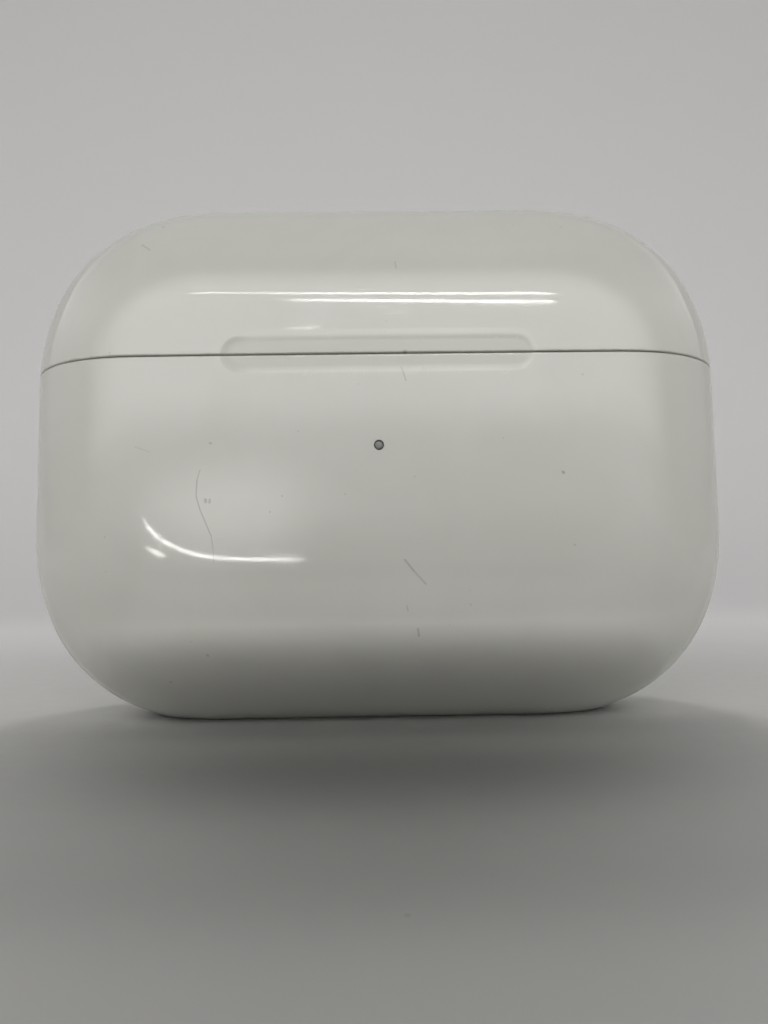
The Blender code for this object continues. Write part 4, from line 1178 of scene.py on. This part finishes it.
def glows():
    mat = glow_material()
    # soft bands and a soft patch for the large flat face to mirror
    xs, zs = np.arange(-640, 641, 16.0), np.arange(2, 420, 6.0)
    gx, gz = np.meshgrid(xs, zs)
    low = smooth01((58 - gz) / 36) * smooth01((gz - 2) / 14)
    mid = smooth01((gz - 22) / 36) * smooth01((132 - gz) / 40)
    high = smooth01((gz - 92) / 40) * smooth01((420 - gz) / 210)
    level = BAND_LOW * low + BAND_MID * mid + BAND_HIGH * high
    level = level * smooth01((640 - np.abs(gx)) / 520)
    patch = np.exp(-(((gx + 96) / 52) ** 2 + ((gz - 48) / 32) ** 2) ** 1.5)
    level = level + PATCH * patch
    verts = [(x, -402.0, z) for x, z in zip(gx.ravel(), gz.ravel())]
    w = len(xs)
    faces = [
        (r * w + c, r * w + c + 1, (r + 1) * w + c + 1, (r + 1) * w + c)
        for r in range(len(zs) - 1)
        for c in range(w - 1)
    ]
    glow_object("soft_bands", verts, faces, level.ravel(), mat)
    s = STRIP
    ribbon("strip_a", [(-132, 232, 1.0, 0.3 * s), (-118, 229, 1.4, 0.7 * s), (-82, 224, 1.5, 0.6 * s), (-48, 221.5, 1.8, 0.9 * s), (18, 217, 2.2, s), (85, 212.5, 2.2, s), (118, 211, 1.9, s), (124, 211, 0.8, 0.4 * s)], mat)
    ribbon("strip_b", [(-60, 200, 0.6, 0.2 * s), (-48, 199.5, 1.3, 0.6 * s), (18, 196.5, 1.8, 0.9 * s), (85, 193, 1.8, s), (118, 191.5, 1.6, 0.8 * s), (122, 191.5, 0.8, 0.3 * s)], mat)
    ribbon("strip_c", [(-60, 171.5, 0.4, 0.2 * s), (-55, 172.3, 0.8, 0.5 * s), (-42, 173.7, 0.8, 0.6 * s), (-34, 174.6, 0.4, 0.2 * s)], mat)
    ribbon("arc", [(-150, 45, 0.4, 0.2 * s), (-146, 39, 0.65, 0.9 * s), (-138, 31, 0.65, 0.9 * s), (-125, 23.5, 0.7, 1.0 * s), (-112, 19.2, 0.7, 1.0 * s), (-101, 17.0, 0.6, 1.1 * s), (-80, 15.2, 0.6, 1.0 * s), (-60, 14.6, 0.7, 1.0 * s), (-50, 14.3, 0.6, 0.8 * s), (-46, 14.2, 0.3, 0.3 * s)], mat)
    ribbon("arc_end", [(-148, 26.5, 0.3, 0.2 * s), (-143, 24, 0.6, 1.7 * s), (-137.5, 21, 0.55, 1.7 * s), (-134, 19.5, 0.25, 0.2 * s)], mat)


def area(name, at, target, size, power, colour=(1, 1, 1), size_y=None, spread=None):
    data = bpy.data.lights.new(name, "AREA")
    data.shape = "RECTANGLE" if size_y else "SQUARE"
    data.size = size * MM
    if size_y:
        data.size_y = size_y * MM
    data.energy = power
    data.color = colour
    if spread:
        data.spread = math.radians(spread)
    obj = bpy.data.objects.new(name, data)
    obj.location = Vector(at) * MM
    obj.rotation_euler = (Vector(target) - Vector(at)).to_track_quat("-Z", "Y").to_euler()
    bpy.context.scene.collection.objects.link(obj)
    obj.visible_camera = obj.visible_glossy = False
    return obj


def camera():
    data = bpy.data.cameras.new("photo_view")
    data.lens = 740.0 / 1024 * 36.0
    data.sensor_width = 36.0
    data.sensor_fit = "AUTO"
    data.clip_start, data.clip_end = 0.002, 10.0
    right = Vector((0.99982214, -0.01150538, -0.01494342))
    up = Vector((0.01390334, -0.0857091, 0.99622319))
    ahead = Vector((0.01274272, 0.99625377, 0.08553389))
    m = Matrix((right, up, -ahead)).transposed().to_4x4()
    m.translation = Vector((-0.416, -68.024, 11.907)) * MM
    obj = bpy.data.objects.new("photo_view", data)
    obj.matrix_world = m
    bpy.context.scene.collection.objects.link(obj)
    bpy.context.scene.camera = obj


def room():
    """A soft grey room: light comes in low from windows, and reflections see pale walls."""
    world = bpy.data.worlds.new("studio")
    world.use_nodes = True
    tree = world.node_tree
    back = tree.nodes["Background"]
    coord = tree.nodes.new("ShaderNodeTexCoord")
    split = tree.nodes.new("ShaderNodeSeparateXYZ")
    path = tree.nodes.new("ShaderNodeLightPath")
    tree.links.new(coord.outputs["Generated"], split.inputs[0])

    def math_node(op, *values):
        node = tree.nodes.new("ShaderNodeMath")
        node.operation = op
        for value, socket in zip(values, node.inputs):
            if hasattr(value, "links"):
                tree.links.new(value, socket)
            else:
                socket.default_value = value
        return node.outputs[0]

    def ramp(low, high, start, end):
        node = tree.nodes.new("ShaderNodeMapRange")
        node.interpolation_type = "SMOOTHSTEP"
        tree.links.new(split.outputs["Z"], node.inputs["Value"])
        for socket, value in zip(("From Min", "From Max", "To Min", "To Max"), (low, high, start, end)):
            node.inputs[socket].default_value = value
        return node.outputs["Result"]

    def around(low, peak, high, level):
        """A rise and fall of light over the sine of the height above the horizon."""
        return math_node("MULTIPLY", ramp(low, peak, 0.0, level), ramp(peak, high, 1.0, 0.0))

    lit = seen = None
    for (low, peak, high), a, b in zip(WORLD_SPANS, WORLD_LIT, WORLD_SEEN):
        if a:
            one = around(low, peak, high, a)
            lit = one if lit is None else math_node("ADD", lit, one)
        if b:
            one = around(low, peak, high, b)
            seen = one if seen is None else math_node("ADD", seen, one)
    lit = math_node("MULTIPLY", lit if lit is not None else 0.0, math_node("SUBTRACT", 1.0, path.outputs["Is Glossy Ray"]))
    seen = math_node("MULTIPLY", seen if seen is not None else 0.0, path.outputs["Is Glossy Ray"])
    both = math_node("MULTIPLY", math_node("ADD", lit, seen), math_node("SUBTRACT", 1.0, path.outputs["Is Camera Ray"]))
    # what lies past the backdrop is plain pale grey
    far = math_node("MULTIPLY", path.outputs["Is Camera Ray"], 0.46)
    tree.links.new(math_node("ADD", both, far), back.inputs["Strength"])
    back.inputs["Color"].default_value = (1.0, 1.0, 0.985, 1)
    bpy.context.scene.world = world


LOW_CARD = (32.0, -64.0, -10.4, 8.3, 0.12)
BAND_LOW, BAND_MID, BAND_HIGH, PATCH, STRIP = 0.45, 1.0, 2.9, 2.6, 30.0
WORLD_SPANS = ((-0.3, 0.0, 0.15), (0.0, 0.2, 0.45), (0.2, 0.5, 0.8), (0.5, 0.85, 1.4))
WORLD_LIT = (0.42, 0.0, 1.36, 0.0)
WORLD_SEEN = (0.25, 0.5, 1.0, 0.4)

backdrop()
card("low_card", *LOW_CARD)
glows()
area("rear_key", (60, 520, 1000), (0, -10, 10), 260, 2.0, (1.0, 0.985, 0.94))
area("front_key", (-30, -420, 330), (0, 0, 26), 520, 0.66, (1.0, 0.985, 0.925), 330)
room()
bpy.context.scene.view_settings.view_transform = "Standard"
camera()
